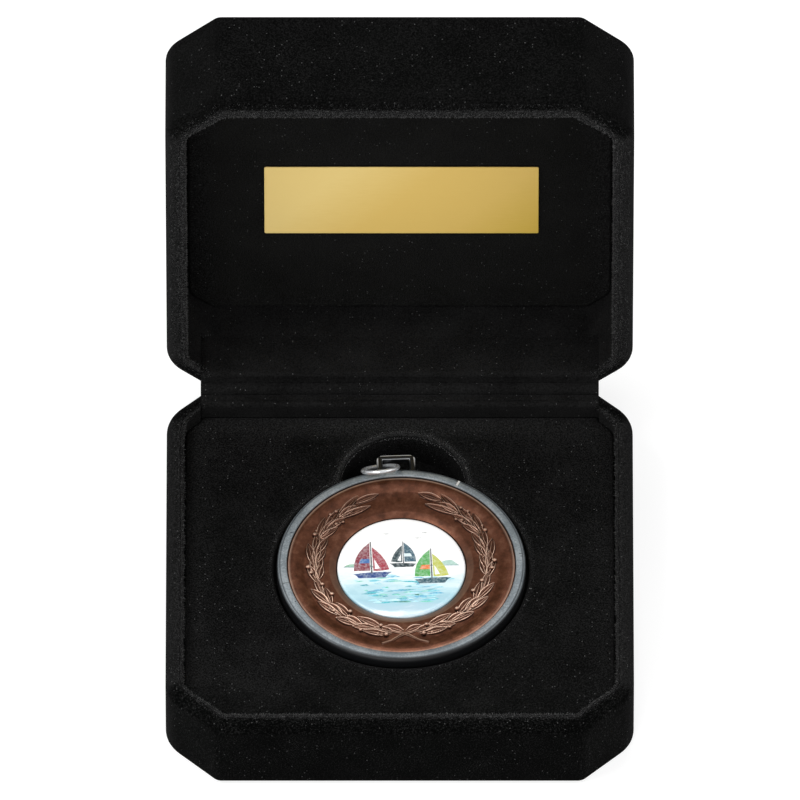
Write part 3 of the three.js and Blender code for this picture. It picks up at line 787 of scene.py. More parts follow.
# Lid panel
# A grey board glued in the lid, wrapped in smooth black velvet over a thin soft layer, so its
# face is a little crowned and its edges are soft.
panel_drop, panel_sheet, panel_inset, panel_edge = 17.5, 1.5, 4.3, 0.7
panel_velvet = flocked("black velvet over board", "#0b0b0a", "#1b1b1a", 0.3)
crown, crown_reach = 0.1, 6
section = [(panel_inset, panel_sheet), (panel_inset, panel_edge + 2 * crown)]
section += [(panel_inset + across, down + crown) for across, down in quarter(0, panel_edge, 5)]
section += [(panel_inset + crown_reach, 0)]
panel = lofted("lid_panel", [case_ring(inset, -panel_drop - down) for inset, down in section])


def panel_painted_light(x, y, z):
    """Painted light on the velvet: strong along the panel's sides, where its walls shade it, and slight near its ends.
    """
    side, end, slant = edge_distances(x, y)
    return max(0.16 * smooth(14, 4, min(side, end, slant)), 0.9 * smooth(14, 4, side))


marked(panel, "lip", panel_painted_light)
placed(panel, lid_place, panel_velvet)
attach(panel, "lid")
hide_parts("lid_pad")

# Pressed grey board: pulp fibres and flecks in a dull grey brown.
board_look = bpy.data.materials.new("pressed grey board")
tree = cleared(board_look)
place = add(tree, "ShaderNodeTexCoord").outputs["Object"]
pulp = add(tree, "ShaderNodeTexNoise", {"Scale": 1 / (0.7 * MM), "Detail": 6, "Roughness": 0.7}, {"Vector": place})
bump = add(tree, "ShaderNodeBump", {"Strength": 0.4, "Distance": 0.05 * MM}, {"Height": pulp.outputs["Fac"]})
tone = add(tree, "ShaderNodeValToRGB", links={"Fac": pulp.outputs["Fac"]}, stops=[(0.3, "#776f65"), (0.7, "#9c948a")])
surface = add(tree, "ShaderNodeBsdfPrincipled", {"Roughness": 0.9}, {
    "Base Color": tone.outputs["Color"], "Normal": bump.outputs["Normal"]})
add(tree, "ShaderNodeOutputMaterial", links={"Surface": surface.outputs[0]})
finished("lid_board", board_look)

# Coated polyester tape: a thin milky film with faint streaks of adhesive.
film_look = bpy.data.materials.new("adhesive coated polyester film")
tree = cleared(film_look)
place = add(tree, "ShaderNodeTexCoord").outputs["Object"]
streak = add(tree, "ShaderNodeTexNoise", {"Scale": 1 / (1.5 * MM), "Detail": 3}, {"Vector": place})
polish = add(tree, "ShaderNodeMapRange", {"To Min": 0.35, "To Max": 0.7}, {"Value": streak.outputs["Fac"]})
tone = add(tree, "ShaderNodeValToRGB", links={"Fac": streak.outputs["Fac"]}, stops=[(0.3, "#cfc9b8"), (0.7, "#e2ddd0")])
surface = add(tree, "ShaderNodeBsdfPrincipled", links={
    "Base Color": tone.outputs["Color"], "Roughness": polish.outputs[0]})
add(tree, "ShaderNodeOutputMaterial", links={"Surface": surface.outputs[0]})
for name in ("plate_tape", "centre_tape"):
    finished(name, film_look)

# Engraving plate
# A blank guillotined plate of gold anodised aluminium, etched matt before it was dyed, with a
# fine bright bevel round its face. A film under it holds it on the panel.
plate_seat, plate_half, plate_corner, plate_bevel = (-0.35, hinge_y - 38.2), (27.5, 10.2), 0.35, 0.1
plate_low, plate_high, least_plate_corner = -17.15, -16.95, 0.1
# The gold is painted a little paler at the top left as painted light: how much it deepens to the right and upwards over
# the plate's size.
light_across, light_up = 0.75 / (55 * MM), -0.25 / (21 * MM)
gold = bpy.data.materials.new("gold anodised aluminium, satin")
tree = cleared(gold)
place = add(tree, "ShaderNodeTexCoord").outputs["Object"]
along = add(tree, "ShaderNodeMapping", {"Scale": (0.04, 1, 1)}, {"Vector": place})
brush = add(tree, "ShaderNodeTexNoise", {"Scale": 1 / (0.12 * MM), "Detail": 3}, {"Vector": along.outputs[0]})
light_gradient = add(tree, "ShaderNodeVectorMath", {1: (light_across, 0, light_up)}, {0: place}, operation="DOT_PRODUCT")
mixed = add(tree, "ShaderNodeMath", {1: 0.12}, {0: brush.outputs["Fac"], 2: light_gradient.outputs["Value"]},
            operation="MULTIPLY_ADD")
shade = add(tree, "ShaderNodeMapRange", {"From Min": -1.1, "From Max": -0.1}, {"Value": mixed.outputs[0]})
polish = add(tree, "ShaderNodeMapRange", {"To Min": 0.5, "To Max": 0.62}, {"Value": brush.outputs["Fac"]})
bump = add(tree, "ShaderNodeBump", {"Strength": 0.08, "Distance": 0.01 * MM}, {"Height": brush.outputs["Fac"]})
tone = add(tree, "ShaderNodeValToRGB", links={"Fac": shade.outputs[0]}, stops=[
    (0.0, "#f7d887"), (0.25, "#f8da8a"), (0.5, "#ebc76e"), (0.75, "#e6c268"), (1.0, "#d8b54a")])
surface = add(tree, "ShaderNodeBsdfPrincipled", {"Metallic": 0.06}, {
    "Base Color": tone.outputs["Color"], "Roughness": polish.outputs[0], "Normal": bump.outputs["Normal"]})
add(tree, "ShaderNodeOutputMaterial", links={"Surface": surface.outputs[0]})


def plate_ring(inset, height):
    """The plate's outline moved inwards."""
    x, y = plate_half[0] - inset, plate_half[1] - inset
    size = max(plate_corner - inset, least_plate_corner)
    corners = [(x, -y), (x, y), (-x, y), (-x, -y)]
    return ring([(plate_seat[0] + cx, plate_seat[1] + cy, size) for cx, cy in corners], height, 4)


plate = lofted("gold_plate", [
    plate_ring(0, plate_low), plate_ring(0, plate_high - plate_bevel),
    plate_ring(plate_bevel * 0.4, plate_high - plate_bevel * 0.3), plate_ring(plate_bevel, plate_high)])
placed(plate, lid_place, gold, 20)
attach(plate, "lid")
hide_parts("engraving_plate")

# Medal rim
# The holder ring is die-cast and nickel plated grey, rolled over the disc, with a parting
# line across its top face and a small rectangular loop cast on at the back.
medal_low, medal_turn = 11.3, Matrix.Rotation(radians(2.3), 4, "Z")
medal_place = Matrix.Scale(MM, 4) @ Matrix.Translation((*recess_seat, medal_low)) @ medal_turn
rim_outside, rim_inside, rim_top, rim_edge, rim_foot, foot_step = 25, 22.95, 4, 1.1, 0.55, 0.16
flange_inside, flange_sheet = 20.45, 0.7
# The loop is polished nickel, painted dark for the black velvet it reflects, with a painted highlight along its upper
# outer edges, round its hole and on the parting line.
polished_nickel = bpy.data.materials.new("grey nickel plate, polished, bare at its edges")
tree = cleared(polished_nickel)
lightened = add(tree, "ShaderNodeAttribute", attribute_name="lightened").outputs["Fac"]
polish = add(tree, "ShaderNodeMapRange", {"To Min": 0.35, "To Max": 0.45}, {"Value": lightened})
tone = add(tree, "ShaderNodeValToRGB", links={"Fac": lightened}, stops=[(0.3, "#1c1e20"), (1.0, "#dfe1e3")])
surface = add(tree, "ShaderNodeBsdfPrincipled", {"Metallic": 0.6}, {
    "Base Color": tone.outputs["Color"], "Roughness": polish.outputs[0]})
add(tree, "ShaderNodeOutputMaterial", links={"Surface": surface.outputs[0]})
# The ring was blasted before it was plated: an even grey with a fine grit, clouded, and darkened down its flank as
# painted shade and painted reflection of the black velvet, most at the front.
grey_nickel = bpy.data.materials.new("grey nickel plate on a blasted zinc casting")
tree = cleared(grey_nickel)
place = add(tree, "ShaderNodeTexCoord").outputs["Object"]
grit = add(tree, "ShaderNodeTexNoise", {"Scale": 1 / (0.35 * MM), "Detail": 4, "Roughness": 0.65}, {"Vector": place})
stain = add(tree, "ShaderNodeTexNoise", {"Scale": 1 / (5 * MM), "Detail": 3}, {"Vector": place})
uneven = add(tree, "ShaderNodeMath", {1: 0.8}, {0: stain.outputs["Fac"], 2: grit.outputs["Fac"]},
             operation="MULTIPLY_ADD")
plain = add(tree, "ShaderNodeValToRGB", links={"Fac": uneven.outputs[0]}, stops=[
    (0.72, "#6b7378"), (0.92, "#7a8287"), (1.12, "#8b9296")])
flank = add(tree, "ShaderNodeAttribute", attribute_name="flank")
shaded_nickel = add(tree, "ShaderNodeMix", {"B": linear("#0c0d0f")},
                {"Factor": flank.outputs["Fac"], "A": plain.outputs["Color"]}, data_type="RGBA")
polish = add(tree, "ShaderNodeMapRange", {"To Min": 0.42, "To Max": 0.58}, {"Value": grit.outputs["Fac"]})
relief = add(tree, "ShaderNodeBump", {"Strength": 0.15, "Distance": 0.02 * MM}, {"Height": grit.outputs["Fac"]})
surface = add(tree, "ShaderNodeBsdfPrincipled", {"Metallic": 0.5}, {
    "Base Color": shaded_nickel.outputs["Result"], "Roughness": polish.outputs[0], "Normal": relief.outputs["Normal"]})
add(tree, "ShaderNodeOutputMaterial", links={"Surface": surface.outputs[0]})
section = [(flange_inside, 0), (rim_outside - rim_foot, 0)]
section += [(rim_outside - foot_step, foot_step), (rim_outside, rim_foot)]
section += [(rim_outside - across, rim_top - down) for across, down in quarter(0, rim_edge, 7)]
section += [(rim_inside + across, rim_top - down) for across, down in reversed(quarter(0, 0.2, 3))]
section += [(rim_inside, rim_top - down) for down in (0.35, 0.45, rim_top - flange_sheet)]
section += [(flange_inside, flange_sheet)]
rim = turned("medal_holder_ring", section, 180)
loop_half, loop_root, loop_end, loop_low, loop_high = 3.85, 23.3, 28.6, 2.45, 3.75
loop_side, loop_bar, loop_start, loop_corner, loop_edge = 1.1, 1.0, 24.41, 1.15, 0.22
foot_corner, hole_corner, broken_edge = 0.2, 0.25, 0.3


def loop_ring(inset, height):
    """The loop's outline moved inwards."""
    x, low, high = loop_half - inset, loop_root + inset, loop_end - inset
    size = max(loop_corner - inset, foot_corner)
    return ring([(x, low, foot_corner), (x, high, size), (-x, high, size), (-x, low, foot_corner)], height, 5)


def loop_hole(spread, height):
    """The outline of the loop's hole, spread at its faces where the edge is broken."""
    x, low, high = loop_half - loop_side + spread, loop_start - spread, loop_end - loop_bar + spread
    return ring([(cx, cy, hole_corner) for cx, cy in ((x, low), (x, high), (-x, high), (-x, low))], height, 3)


def turned_block(low, high, turn):
    """A block turned about the medal's axis, in degrees."""
    body = block(low, high)
    body.data.transform(Matrix.Rotation(radians(turn), 4, "Z"))
    return body


rounded = [(across, loop_low + down) for across, down in reversed(quarter(0, loop_edge))]
rounded += [(across, loop_high - down) for across, down in quarter(0, loop_edge)] + [(loop_edge + 0.16, loop_high)]
loop = lofted("tool", [loop_ring(inset, z) for inset, z in rounded])
hole = lofted("tool", [
    loop_hole(broken_edge, loop_low - 0.1), loop_hole(0, loop_low + 0.2), loop_hole(0, loop_high - 0.4),
    loop_hole(0, loop_high - 0.2), loop_hole(broken_edge, loop_high + 0.1)])
combined(rim, "UNION", combined(loop, "DIFFERENCE", hole))
parting_turn, parting_half, parting_rise = -30.7, 0.24, 0.05
parting = turned_block((-parting_half, rim_inside + 0.2, rim_top - 0.3),
                       (parting_half, rim_outside - 0.6, rim_top + parting_rise), parting_turn)
combined(rim, "UNION", parting)
# Handling has scored the rim: each mark's heading, the radii that it runs between and its width.
score_depth = 0.14
scores = ((-30.1, 23.1, 24.7, 0.1), (100, 22.9, 24.9, 0.16), (67.6, 22.9, 23.7, 0.24), (112.7, 22.9, 23.5, 0.3),
          (-85.9, 23.7, 24.8, 0.14), (-87.6, 23.9, 24.7, 0.12))
combined(rim, "DIFFERENCE", *[
    turned_block((-width / 2, low, rim_top - score_depth), (width / 2, high, rim_top + 0.2), turn)
    for turn, low, high, width in scores])


def rim_shade_and_marks(x, y, z):
    """How dark the nickel is painted: painted shade and reflection down the flank, more so at the front, dark in the
    score marks, and painted shade at the inner edge against the disc.
    """
    radius = hypot(x, y)
    front = max(-y / radius, 0) ** 2
    flank_shade = smooth(0.55 - 0.3 * front, 1.0 - 0.4 * front, (radius - rim_outside + rim_edge) / rim_edge)
    scored = 0.8 if 23.2 < radius < rim_outside - 0.5 and rim_top - 0.2 < z < rim_top - 0.1 else 0
    inside = radius < rim_inside + 0.01 and z < rim_top - 0.4
    return max(flank_shade, scored, 0.35 * front, int(inside))


def loop_highlight(x, y, z):
    """1 where the loop's upper outer edges and the parting line get a painted highlight, less round the loop's hole."""
    if hypot(x, y) < rim_outside:
        return int(z > rim_top + 0.02)
    outer = min(loop_half - abs(x), loop_end - y) < loop_edge + 0.05 and z > loop_high - loop_edge - 0.05
    inner = abs(x) < loop_half - loop_side + 0.02 and y < loop_end - loop_bar + 0.02 and z > loop_high - 0.25
    return max(int(outer), 0.65 * inner)


marked(rim, "flank", rim_shade_and_marks)
marked(rim, "lightened", loop_highlight)
placed(rim, medal_place, grey_nickel, 30)
rim.data.materials.append(polished_nickel)
to_medal = medal_place.inverted()
for face in rim.data.polygons:
    spot = to_medal @ face.center
    face.material_index = int(hypot(spot.x, spot.y) > rim_outside + 0.05 or spot.z > rim_top + 0.02)
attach(rim, "medal")
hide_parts("medal_rim")

# Medal disc
# A struck bronze disc: a rounded moulding at its edge, a flat band for the wreath and a
# bevel down to the seat of the centre, stained brown and lacquered.
disc_radius, band_outer, band_height, disc_low = 22.88, 19.5, 3.0, 1
moulding_rise, moulding_crest, moulding_fall = 0.62, 0.72, 0.16
bevel_outer, seat_radius, bevel_drop, seat_low = 14.45, 13.05, 0.5, 1.75
# Stained bronze: brown patina in clouds. An amount on each point lightens it towards pale copper, partly wear where an
# edge stands up and partly painted highlight, and below zero darkens it, partly patina in the corners and partly
# painted shade.
bronze = bpy.data.materials.new("antique bronze, struck and lacquered")
tree = cleared(bronze)
place = add(tree, "ShaderNodeTexCoord").outputs["Object"]
cloud = add(tree, "ShaderNodeTexNoise", {"Scale": 1 / (2.4 * MM), "Detail": 6, "Roughness": 0.7}, {"Vector": place})
grain = add(tree, "ShaderNodeTexNoise", {"Scale": 1 / (0.25 * MM), "Detail": 3}, {"Vector": place})
patina = add(tree, "ShaderNodeValToRGB", links={"Fac": cloud.outputs["Fac"]}, stops=[
    (0.3, "#3a2014"), (0.52, "#5b3727"), (0.75, "#755140")])
wear_and_light = add(tree, "ShaderNodeAttribute", attribute_name="wear_and_light").outputs["Fac"]
lightened = add(tree, "ShaderNodeMix", {"B": linear("#f9d6bf")}, {"Factor": wear_and_light, "A": patina.outputs["Color"]},
             data_type="RGBA")
# Below zero the amount darkens the bronze: partly patina in the corners, partly painted shade.
hollow = add(tree, "ShaderNodeMath", {1: -1}, {0: wear_and_light}, operation="MULTIPLY")
colour = add(tree, "ShaderNodeMix", {"B": linear("#1c0d07")},
             {"Factor": hollow.outputs[0], "A": lightened.outputs["Result"]}, data_type="RGBA")
polish = add(tree, "ShaderNodeMapRange", {"To Min": 0.34, "To Max": 0.5}, {"Value": grain.outputs["Fac"]})
relief = add(tree, "ShaderNodeBump", {"Strength": 0.15, "Distance": 0.03 * MM}, {"Height": grain.outputs["Fac"]})
surface = add(tree, "ShaderNodeBsdfPrincipled", {"Metallic": 0.8}, {
    "Base Color": colour.outputs["Result"], "Roughness": polish.outputs[0], "Normal": relief.outputs["Normal"]})
add(tree, "ShaderNodeOutputMaterial", links={"Surface": surface.outputs[0]})


def disc_height(radius):
    """How high the disc's face stands at a radius."""
    if radius < bevel_outer:
        return band_height - bevel_drop * min((bevel_outer - radius) / (bevel_outer - seat_radius), 1)
    across = min(max((radius - band_outer) / (disc_radius - band_outer), 0), 1)
    rise = moulding_rise * sin(pi / 2 * min(across / moulding_crest, 1))
    return band_height + rise - moulding_fall * max(across - moulding_crest, 0) / (1 - moulding_crest)


section = [(0, disc_low), (disc_radius, disc_low), (disc_radius, disc_height(disc_radius) - 0.15)]
radii = [disc_radius - 0.06 - (disc_radius - band_outer) * k / 16 for k in range(17)]
section += [(radius, disc_height(radius)) for radius in radii]
section += [(17, band_height), (bevel_outer + 0.15, band_height), (bevel_outer - 0.1, band_height - 0.05)]
section += [(seat_radius + 0.1, band_height - bevel_drop + 0.04), (seat_radius, band_height - bevel_drop - 0.05)]
section += [(seat_radius, seat_low), (0, seat_low)]
disc = turned("struck_disc", section, 180)


def disc_painted_light(x, y, z):
    """Painted highlight on the moulding's outer edge, stronger at the back, and on the bevel's front, with painted
    shade on the bevel's back; painted shade against the rim and round the centre.
    """
    radius = hypot(x, y)
    edge = (0.35 + 0.25 * y / 25) * smooth(22.2, 22.7, radius) - 1.3 * smooth(22.76, 22.86, radius)
    return edge + (0.06 - 0.14 * y / 14) * smooth(14.55, 14.4, radius) - 1.2 * smooth(13.13, 13.06, radius)


marked(disc, "wear_and_light", disc_painted_light)
placed(disc, medal_place, bronze, 50)
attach(disc, "medal")
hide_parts("medal_disc")

# Wreath
# Two laurel sprays struck with the disc: stems that cross at the foot, pointed leaves with
# raised edges and a midrib, and round berries on short stalks beside them.
leaf_steps, leaf_rows = 7, (-1, -0.8, -0.66, -0.18, 0, 0.18, 0.66, 0.8, 1)
# The height of a leaf of length one at its edge, raised border, hollow and midrib, and how much lighter or darker each
# is: the raised border and midrib lighter, partly wear and partly painted highlight, the edge, hollow and underside
# darker as painted shade.
leaf_relief = {1: 0.0, 0.8: 0.36, 0.66: 0.1, 0.18: 0.05, 0: 0.2}
leaf_light_and_wear = {1: -1.6, 0.8: 1.0, 0.66: -0.45, 0.18: -0.5, 0: 0.5}
leaf_half, leaf_height, leaf_foot, foot_shade = 0.2, 0.30, -0.05, -0.9
points, ridge, underside = [], [], []
for i in range(leaf_steps + 1):
    t = i / leaf_steps
    half_width = leaf_half * sin(pi * min(t * 0.92 + 0.08, 1)) ** 0.8 + 0.004
    for row in leaf_rows:
        points.append((t, row * half_width, leaf_relief[abs(row)] * (0.45 + 0.55 * sin(pi * t)) * leaf_height))
        ridge.append(leaf_light_and_wear[abs(row)])
    underside += [(t, -half_width, leaf_foot), (t, half_width, leaf_foot)]
rows, below = len(leaf_rows), len(points)
points += underside
ridge += [foot_shade] * len(underside)
faces = []
for i in range(leaf_steps):
    a, b = i * rows, below + 2 * i
    faces += [(a + j, a + rows + j, a + rows + j + 1, a + j + 1) for j in range(rows - 1)]
    faces += [(b, b + 1, b + 3, b + 2), (a, a + rows, b + 2, b), (a + rows - 1, b + 1, b + 3, a + 2 * rows - 1)]
for i in (0, leaf_steps):
    faces.append((*range(i * rows, (i + 1) * rows), below + 2 * i + 1, below + 2 * i))
leaf_shape = solid("leaf_shape", points, faces)
levels = {tuple(round(v, 4) for v in point): amount for point, amount in zip(points, ridge)}
marked(leaf_shape, "wear_and_light", lambda x, y, z: levels.get((round(x, 4), round(y, 4), round(z, 4)), 0.0))
leaf_shape.data.shade_smooth()

berry_mesh = bpy.data.meshes.new("berry_shape")
work = bmesh.new()
bmesh.ops.create_icosphere(work, subdivisions=2, radius=1)
work.to_mesh(berry_mesh)
work.free()
berry_shape = new_object("berry_shape", berry_mesh)
# Each berry gets a painted highlight on its top and far side and painted shade on its near side.
marked(berry_shape, "wear_and_light", lambda x, y, z: 1.3 * z + 1.0 * y - 0.5)
berry_shape.data.shade_smooth()

spray_tree, given = growing("spray", Places="Geometry", Shape="Object", Material="Material")
shape = add(spray_tree, "GeometryNodeObjectInfo", {"As Instance": True}, {"Object": given["Shape"]})
place_layers = ("heading", "tilt", "span", "girth")
heading, tilt, span, girth = [
    add(spray_tree, "GeometryNodeInputNamedAttribute", {"Name": layer}, data_type="FLOAT").outputs["Attribute"]
    for layer in place_layers]
turn = add(spray_tree, "ShaderNodeCombineXYZ", links={1: tilt, 2: heading})
scale = add(spray_tree, "ShaderNodeCombineXYZ", links={0: span, 1: girth, 2: girth})
laid = add(spray_tree, "GeometryNodeInstanceOnPoints", links={
    "Points": given["Places"], "Instance": shape.outputs["Geometry"], "Rotation": turn.outputs[0],
    "Scale": scale.outputs[0]})
real = add(spray_tree, "GeometryNodeRealizeInstances", links={0: laid.outputs[0]})
set_look = add(spray_tree, "GeometryNodeSetMaterial", links={
    "Geometry": real.outputs[0], "Material": given["Material"]})
add(spray_tree, "NodeGroupOutput", links={0: set_look.outputs[0]})


def on_band(angle, radius, side):
    """A place on the disc's face, by its angle from the top towards one side."""
    t = radians(angle)
    return Vector((side * radius * sin(t), radius * cos(t), disc_height(radius)))


def strewn(name, places, shape):
    """Copies of a shape at places that each give point, heading, tilt, span and girth."""
    mesh = bpy.data.meshes.new("places")
    mesh.from_pydata([place[0] for place in places], [], [])
    for k, layer in enumerate(place_layers):
        mesh.attributes.new(layer, "FLOAT", "POINT").data.foreach_set("value", [place[k + 1] for place in places])
    return grown_on(name, new_object("places", mesh), spray_tree, {"Shape": shape, "Material": bronze})


def tube(name, path, radii, steps):
    """A round wire along a path, each point with its radius."""
    rings = []
    for i, point in enumerate(path):
        point = Vector(point)
        before = Vector(path[i - 1] if i else path[i])
        after = Vector(path[i + 1] if i + 1 < len(path) else path[i])
        rings.append([tuple(point + out) for out in circle(radii[i], steps, after - before)])
    return lofted(name, rings)


# The leaves of a spray, each as the angle and radius of its root and of its tip.
blades = [
    (27, 19.0, 12, 19.3), (42, 17.7, 19.5, 16.8), (42, 18.1, 24, 20.3), (41, 17.9, 27, 18.2),
    (64, 18.3, 48, 19.8), (63, 18.0, 45.5, 18.1), (64, 17.8, 50, 16.3),
    (86, 17.6, 71, 19.6), (85, 17.3, 66.5, 17.7), (84, 17.0, 70, 15.9),
    (101, 17.3, 87, 18.8), (99, 17.0, 86, 16.0), (112, 17.4, 96, 17.6),
    (121, 17.4, 106, 19.1), (122, 17.0, 108, 16.3), (132, 17.8, 116.5, 19.1), (134, 17.3, 120, 17.6),
    (139, 16.7, 123.5, 16.2),
    (147, 17.6, 132.5, 18.8), (150, 17.2, 136, 17.2), (159, 16.8, 145.5, 18.5), (163, 16.3, 144, 15.9),
    (168, 17.9, 153.5, 18.5), (172, 17.0, 158, 17.0), (179, 16.9, 167, 15.9),
    (54, 18.2, 38, 19.3), (55, 17.7, 40, 16.9), (75, 17.7, 60, 18.8), (76, 17.2, 61, 16.5), (94, 17.4, 78.5, 18.2),
    (93, 17.0, 78, 16.3),
]
# The berries of a spray, each as the angle and radius of its place and its size.
berries = [
    (45, 19.4, 0.44), (40.5, 19.2, 0.44), (47.5, 16.9, 0.46), (44, 16.3, 0.36), (63.5, 19.1, 0.52), (60, 19.3, 0.34),
    (88.8, 18.7, 0.54), (93.5, 18.2, 0.48), (105.4, 16.6, 0.5), (116.2, 15.8, 0.52), (129.4, 17.9, 0.46),
    (137.3, 15.8, 0.52), (163.7, 16.1, 0.48), (162.5, 18.2, 0.36), (167.5, 18.2, 0.52), (151, 18.6, 0.4),
]
# The stem of a spray down to its foot, by angle and radius, and on past the crossing, across and along.
stem_way = [
    (14, 18.4), (26, 18.2), (40, 17.65), (51, 17.8), (62, 17.9), (76, 17.5), (89, 17.1), (100, 17.2), (112, 17.2),
    (121, 17.5), (130, 17.8), (138, 17.7), (145, 17.5), (154, 17.2), (162, 16.9), (170, 17.0),
]
stem_crossing, stem_ends = -17.35, [(0.9, -17.75), (2.9, -19.2), (4.7, -20.15)]
leaf_girth, leaf_tilt, stem_rise, twin_spread = 4.35, radians(-1.5), 0.12, 0.42
leaves, fruit, stalks = [], [], []
wobble = Random(4)
for side in (-1, 1):
    for angle, radius, tip_angle, tip_radius in blades:
        root, goal = on_band(angle, radius, side), on_band(tip_angle + wobble.uniform(-1, 1), tip_radius, side)
        run = goal - root
        leaves.append((root, atan2(run.y, run.x), leaf_tilt, run.length, leaf_girth * wobble.uniform(0.9, 1.1)))
    for angle, radius, size in berries:
        angle += wobble.uniform(-0.8, 0.8)
        spot = on_band(angle, radius, side)
        fruit.append((spot + Vector((0, 0, size * 0.45)), 0.0, 0.0, size, size))
        root = on_band(angle + 3.5, 17.4, side)
        bend = (root + spot) / 2 + Vector((0, 0, stem_rise))
        stalks.append(tube("stalk", [root, bend, spot + Vector((0, 0, 0.1))], [0.1, 0.09, 0.08], 6))
    way = [on_band(angle, radius, side) for angle, radius in stem_way]
    # A second strand lies beside the stem from just above the crossing.
    for spread in (0.0, twin_spread):
        crossing = Vector((0, stem_crossing - spread, band_height + 0.05))
        foot = [Vector((-side * x, y - spread, disc_height(hypot(x, y)))) for x, y in stem_ends]
        path = [point + Vector((0, 0, stem_rise)) for point in [*(way[-2:] if spread else way), crossing, *foot]]
        stalks.append(tube("stalk", path, [0.08 + 0.13 * (k / len(path)) ** 2 for k in range(len(path))], 6))
wreath = strewn("wreath_leaves", leaves, leaf_shape)
fruit_piece = strewn("wreath_berries", fruit, berry_shape)
stem_work = bmesh.new()
for stalk in stalks:
    stem_work.from_mesh(stalk.data)
    bpy.data.objects.remove(stalk)
stem_mesh = bpy.data.meshes.new("wreath_stems")
stem_work.to_mesh(stem_mesh)
stem_work.free()
stems = new_object("wreath_stems", stem_mesh)
# The stems are lighter where they stand highest: partly wear, partly painted highlight.
marked(stems, "wear_and_light", lambda x, y, z: smooth(0.1, 0.28, z - disc_height(hypot(x, y))) * 0.35)
placed(stems, medal_place, bronze, 60)
for piece in (wreath, fruit_piece):
    # The wreath's lightening is weaker at its tips, strongest below its middle, and a little less again at its foot.
    for level, point in zip(piece.data.attributes["wear_and_light"].data, piece.data.vertices):
        if level.value > 0:
            level.value *= 0.6 + 0.4 * smooth(12, -6, point.co.y) - 0.22 * smooth(-10, -16, point.co.y)
    piece.data.transform(medal_place)
for piece in (wreath, fruit_piece, stems):
    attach(piece, "medal")
bpy.data.objects.remove(leaf_shape)
bpy.data.objects.remove(berry_shape)

# Centre disc
# A printed aluminium disc under a poured clear coat that rounds over at its edge, pressed onto
# its film in the seat: white at the top, washed with pale blue towards the bottom.
centre_radius, centre_low, centre_high, dome_edge, dome_rise = 12.85, 2.1, 2.9, 0.8, 0.5
# The wash shows as broad level brush marks, and the clear coat over it gives a soft gloss.
print_look = bpy.data.materials.new("printed aluminium under clear coat")
tree = cleared(print_look)
place = add(tree, "ShaderNodeTexCoord").outputs["Object"]
parts = add(tree, "ShaderNodeSeparateXYZ", links={0: place})
height = add(tree, "ShaderNodeMapRange", {"From Min": -12 * MM, "From Max": 4 * MM}, {"Value": parts.outputs[1]})
flow = add(tree, "ShaderNodeMapping", {"Scale": (0.28, 1, 1)}, {"Vector": place})
stroke = add(tree, "ShaderNodeTexNoise", {"Scale": 1 / (1.5 * MM), "Detail": 4, "Roughness": 0.6, "Distortion": 0.4},
             {"Vector": flow.outputs[0]})
uneven = add(tree, "ShaderNodeMath", {1: 0.45}, {0: stroke.outputs["Fac"], 2: height.outputs[0]},
             operation="MULTIPLY_ADD")
wash = add(tree, "ShaderNodeValToRGB", links={"Fac": uneven.outputs[0]}, stops=[
    (0.16, "#e6eff2"), (0.28, "#a9c6d3"), (0.46, "#9bc4d1"), (0.62, "#b3d5de"), (0.9, "#eef6f7"), (1.0, "#f9f9f9")])
surface = add(tree, "ShaderNodeBsdfPrincipled", {"Roughness": 0.3, "Coat Weight": 0.4, "Coat Roughness": 0.1},
              {"Base Color": wash.outputs["Color"]})
add(tree, "ShaderNodeOutputMaterial", links={"Surface": surface.outputs[0]})
section = [(0, centre_low), (centre_radius, centre_low)]
section += [(centre_radius - dome_edge * across, centre_high - dome_rise * down) for across, down in quarter(0, 1, 6)]
section += [(0, centre_high)]
centre = placed(turned("printed_centre", section, 120), medal_place, print_look, 40)
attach(centre, "medal")
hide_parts("centre_disc")

# Centre print
# Three small sailing boats on pale water, a plain design in thin layers of printing ink.
# The ink lies unevenly, so each colour is mottled and paler where it is thin.
ink = bpy.data.materials.new("screen printing ink, mottled")
tree = cleared(ink)
place = add(tree, "ShaderNodeTexCoord").outputs["Object"]
tone = add(tree, "ShaderNodeAttribute", attribute_name="ink")
mottle = add(tree, "ShaderNodeTexNoise", {"Scale": 1 / (0.45 * MM), "Detail": 3}, {"Vector": place})
amount = add(tree, "ShaderNodeMapRange", {"From Min": 0.4, "From Max": 0.8, "To Min": 0.0, "To Max": 0.4},
             {"Value": mottle.outputs["Fac"]})
thin = add(tree, "ShaderNodeMix", {"B": linear("#e8f4f6")}, {"Factor": amount.outputs[0], "A": tone.outputs["Color"]},
           data_type="RGBA")
surface = add(tree, "ShaderNodeBsdfPrincipled", {"Roughness": 0.35}, {"Base Color": thin.outputs["Result"]})
add(tree, "ShaderNodeOutputMaterial", links={"Surface": surface.outputs[0]})
ink_sheet, ink_root, ink_step, bow_steps = 0.012, 0.03, 2e-5, 5


def bowed(corners):
    """An outline through corners that each give x, y and how far the side after them bows outwards."""
    outline = []
    for i, (x, y, bow) in enumerate(corners):
        ahead = corners[(i + 1) % len(corners)]
        dx, dy = ahead[0] - x, ahead[1] - y
        for k in range(bow_steps):
            t = k / bow_steps
            swell = 4 * bow * t * (1 - t)
            outline.append((x + dx * t + dy * swell, y + dy * t - dx * swell))
    return outline


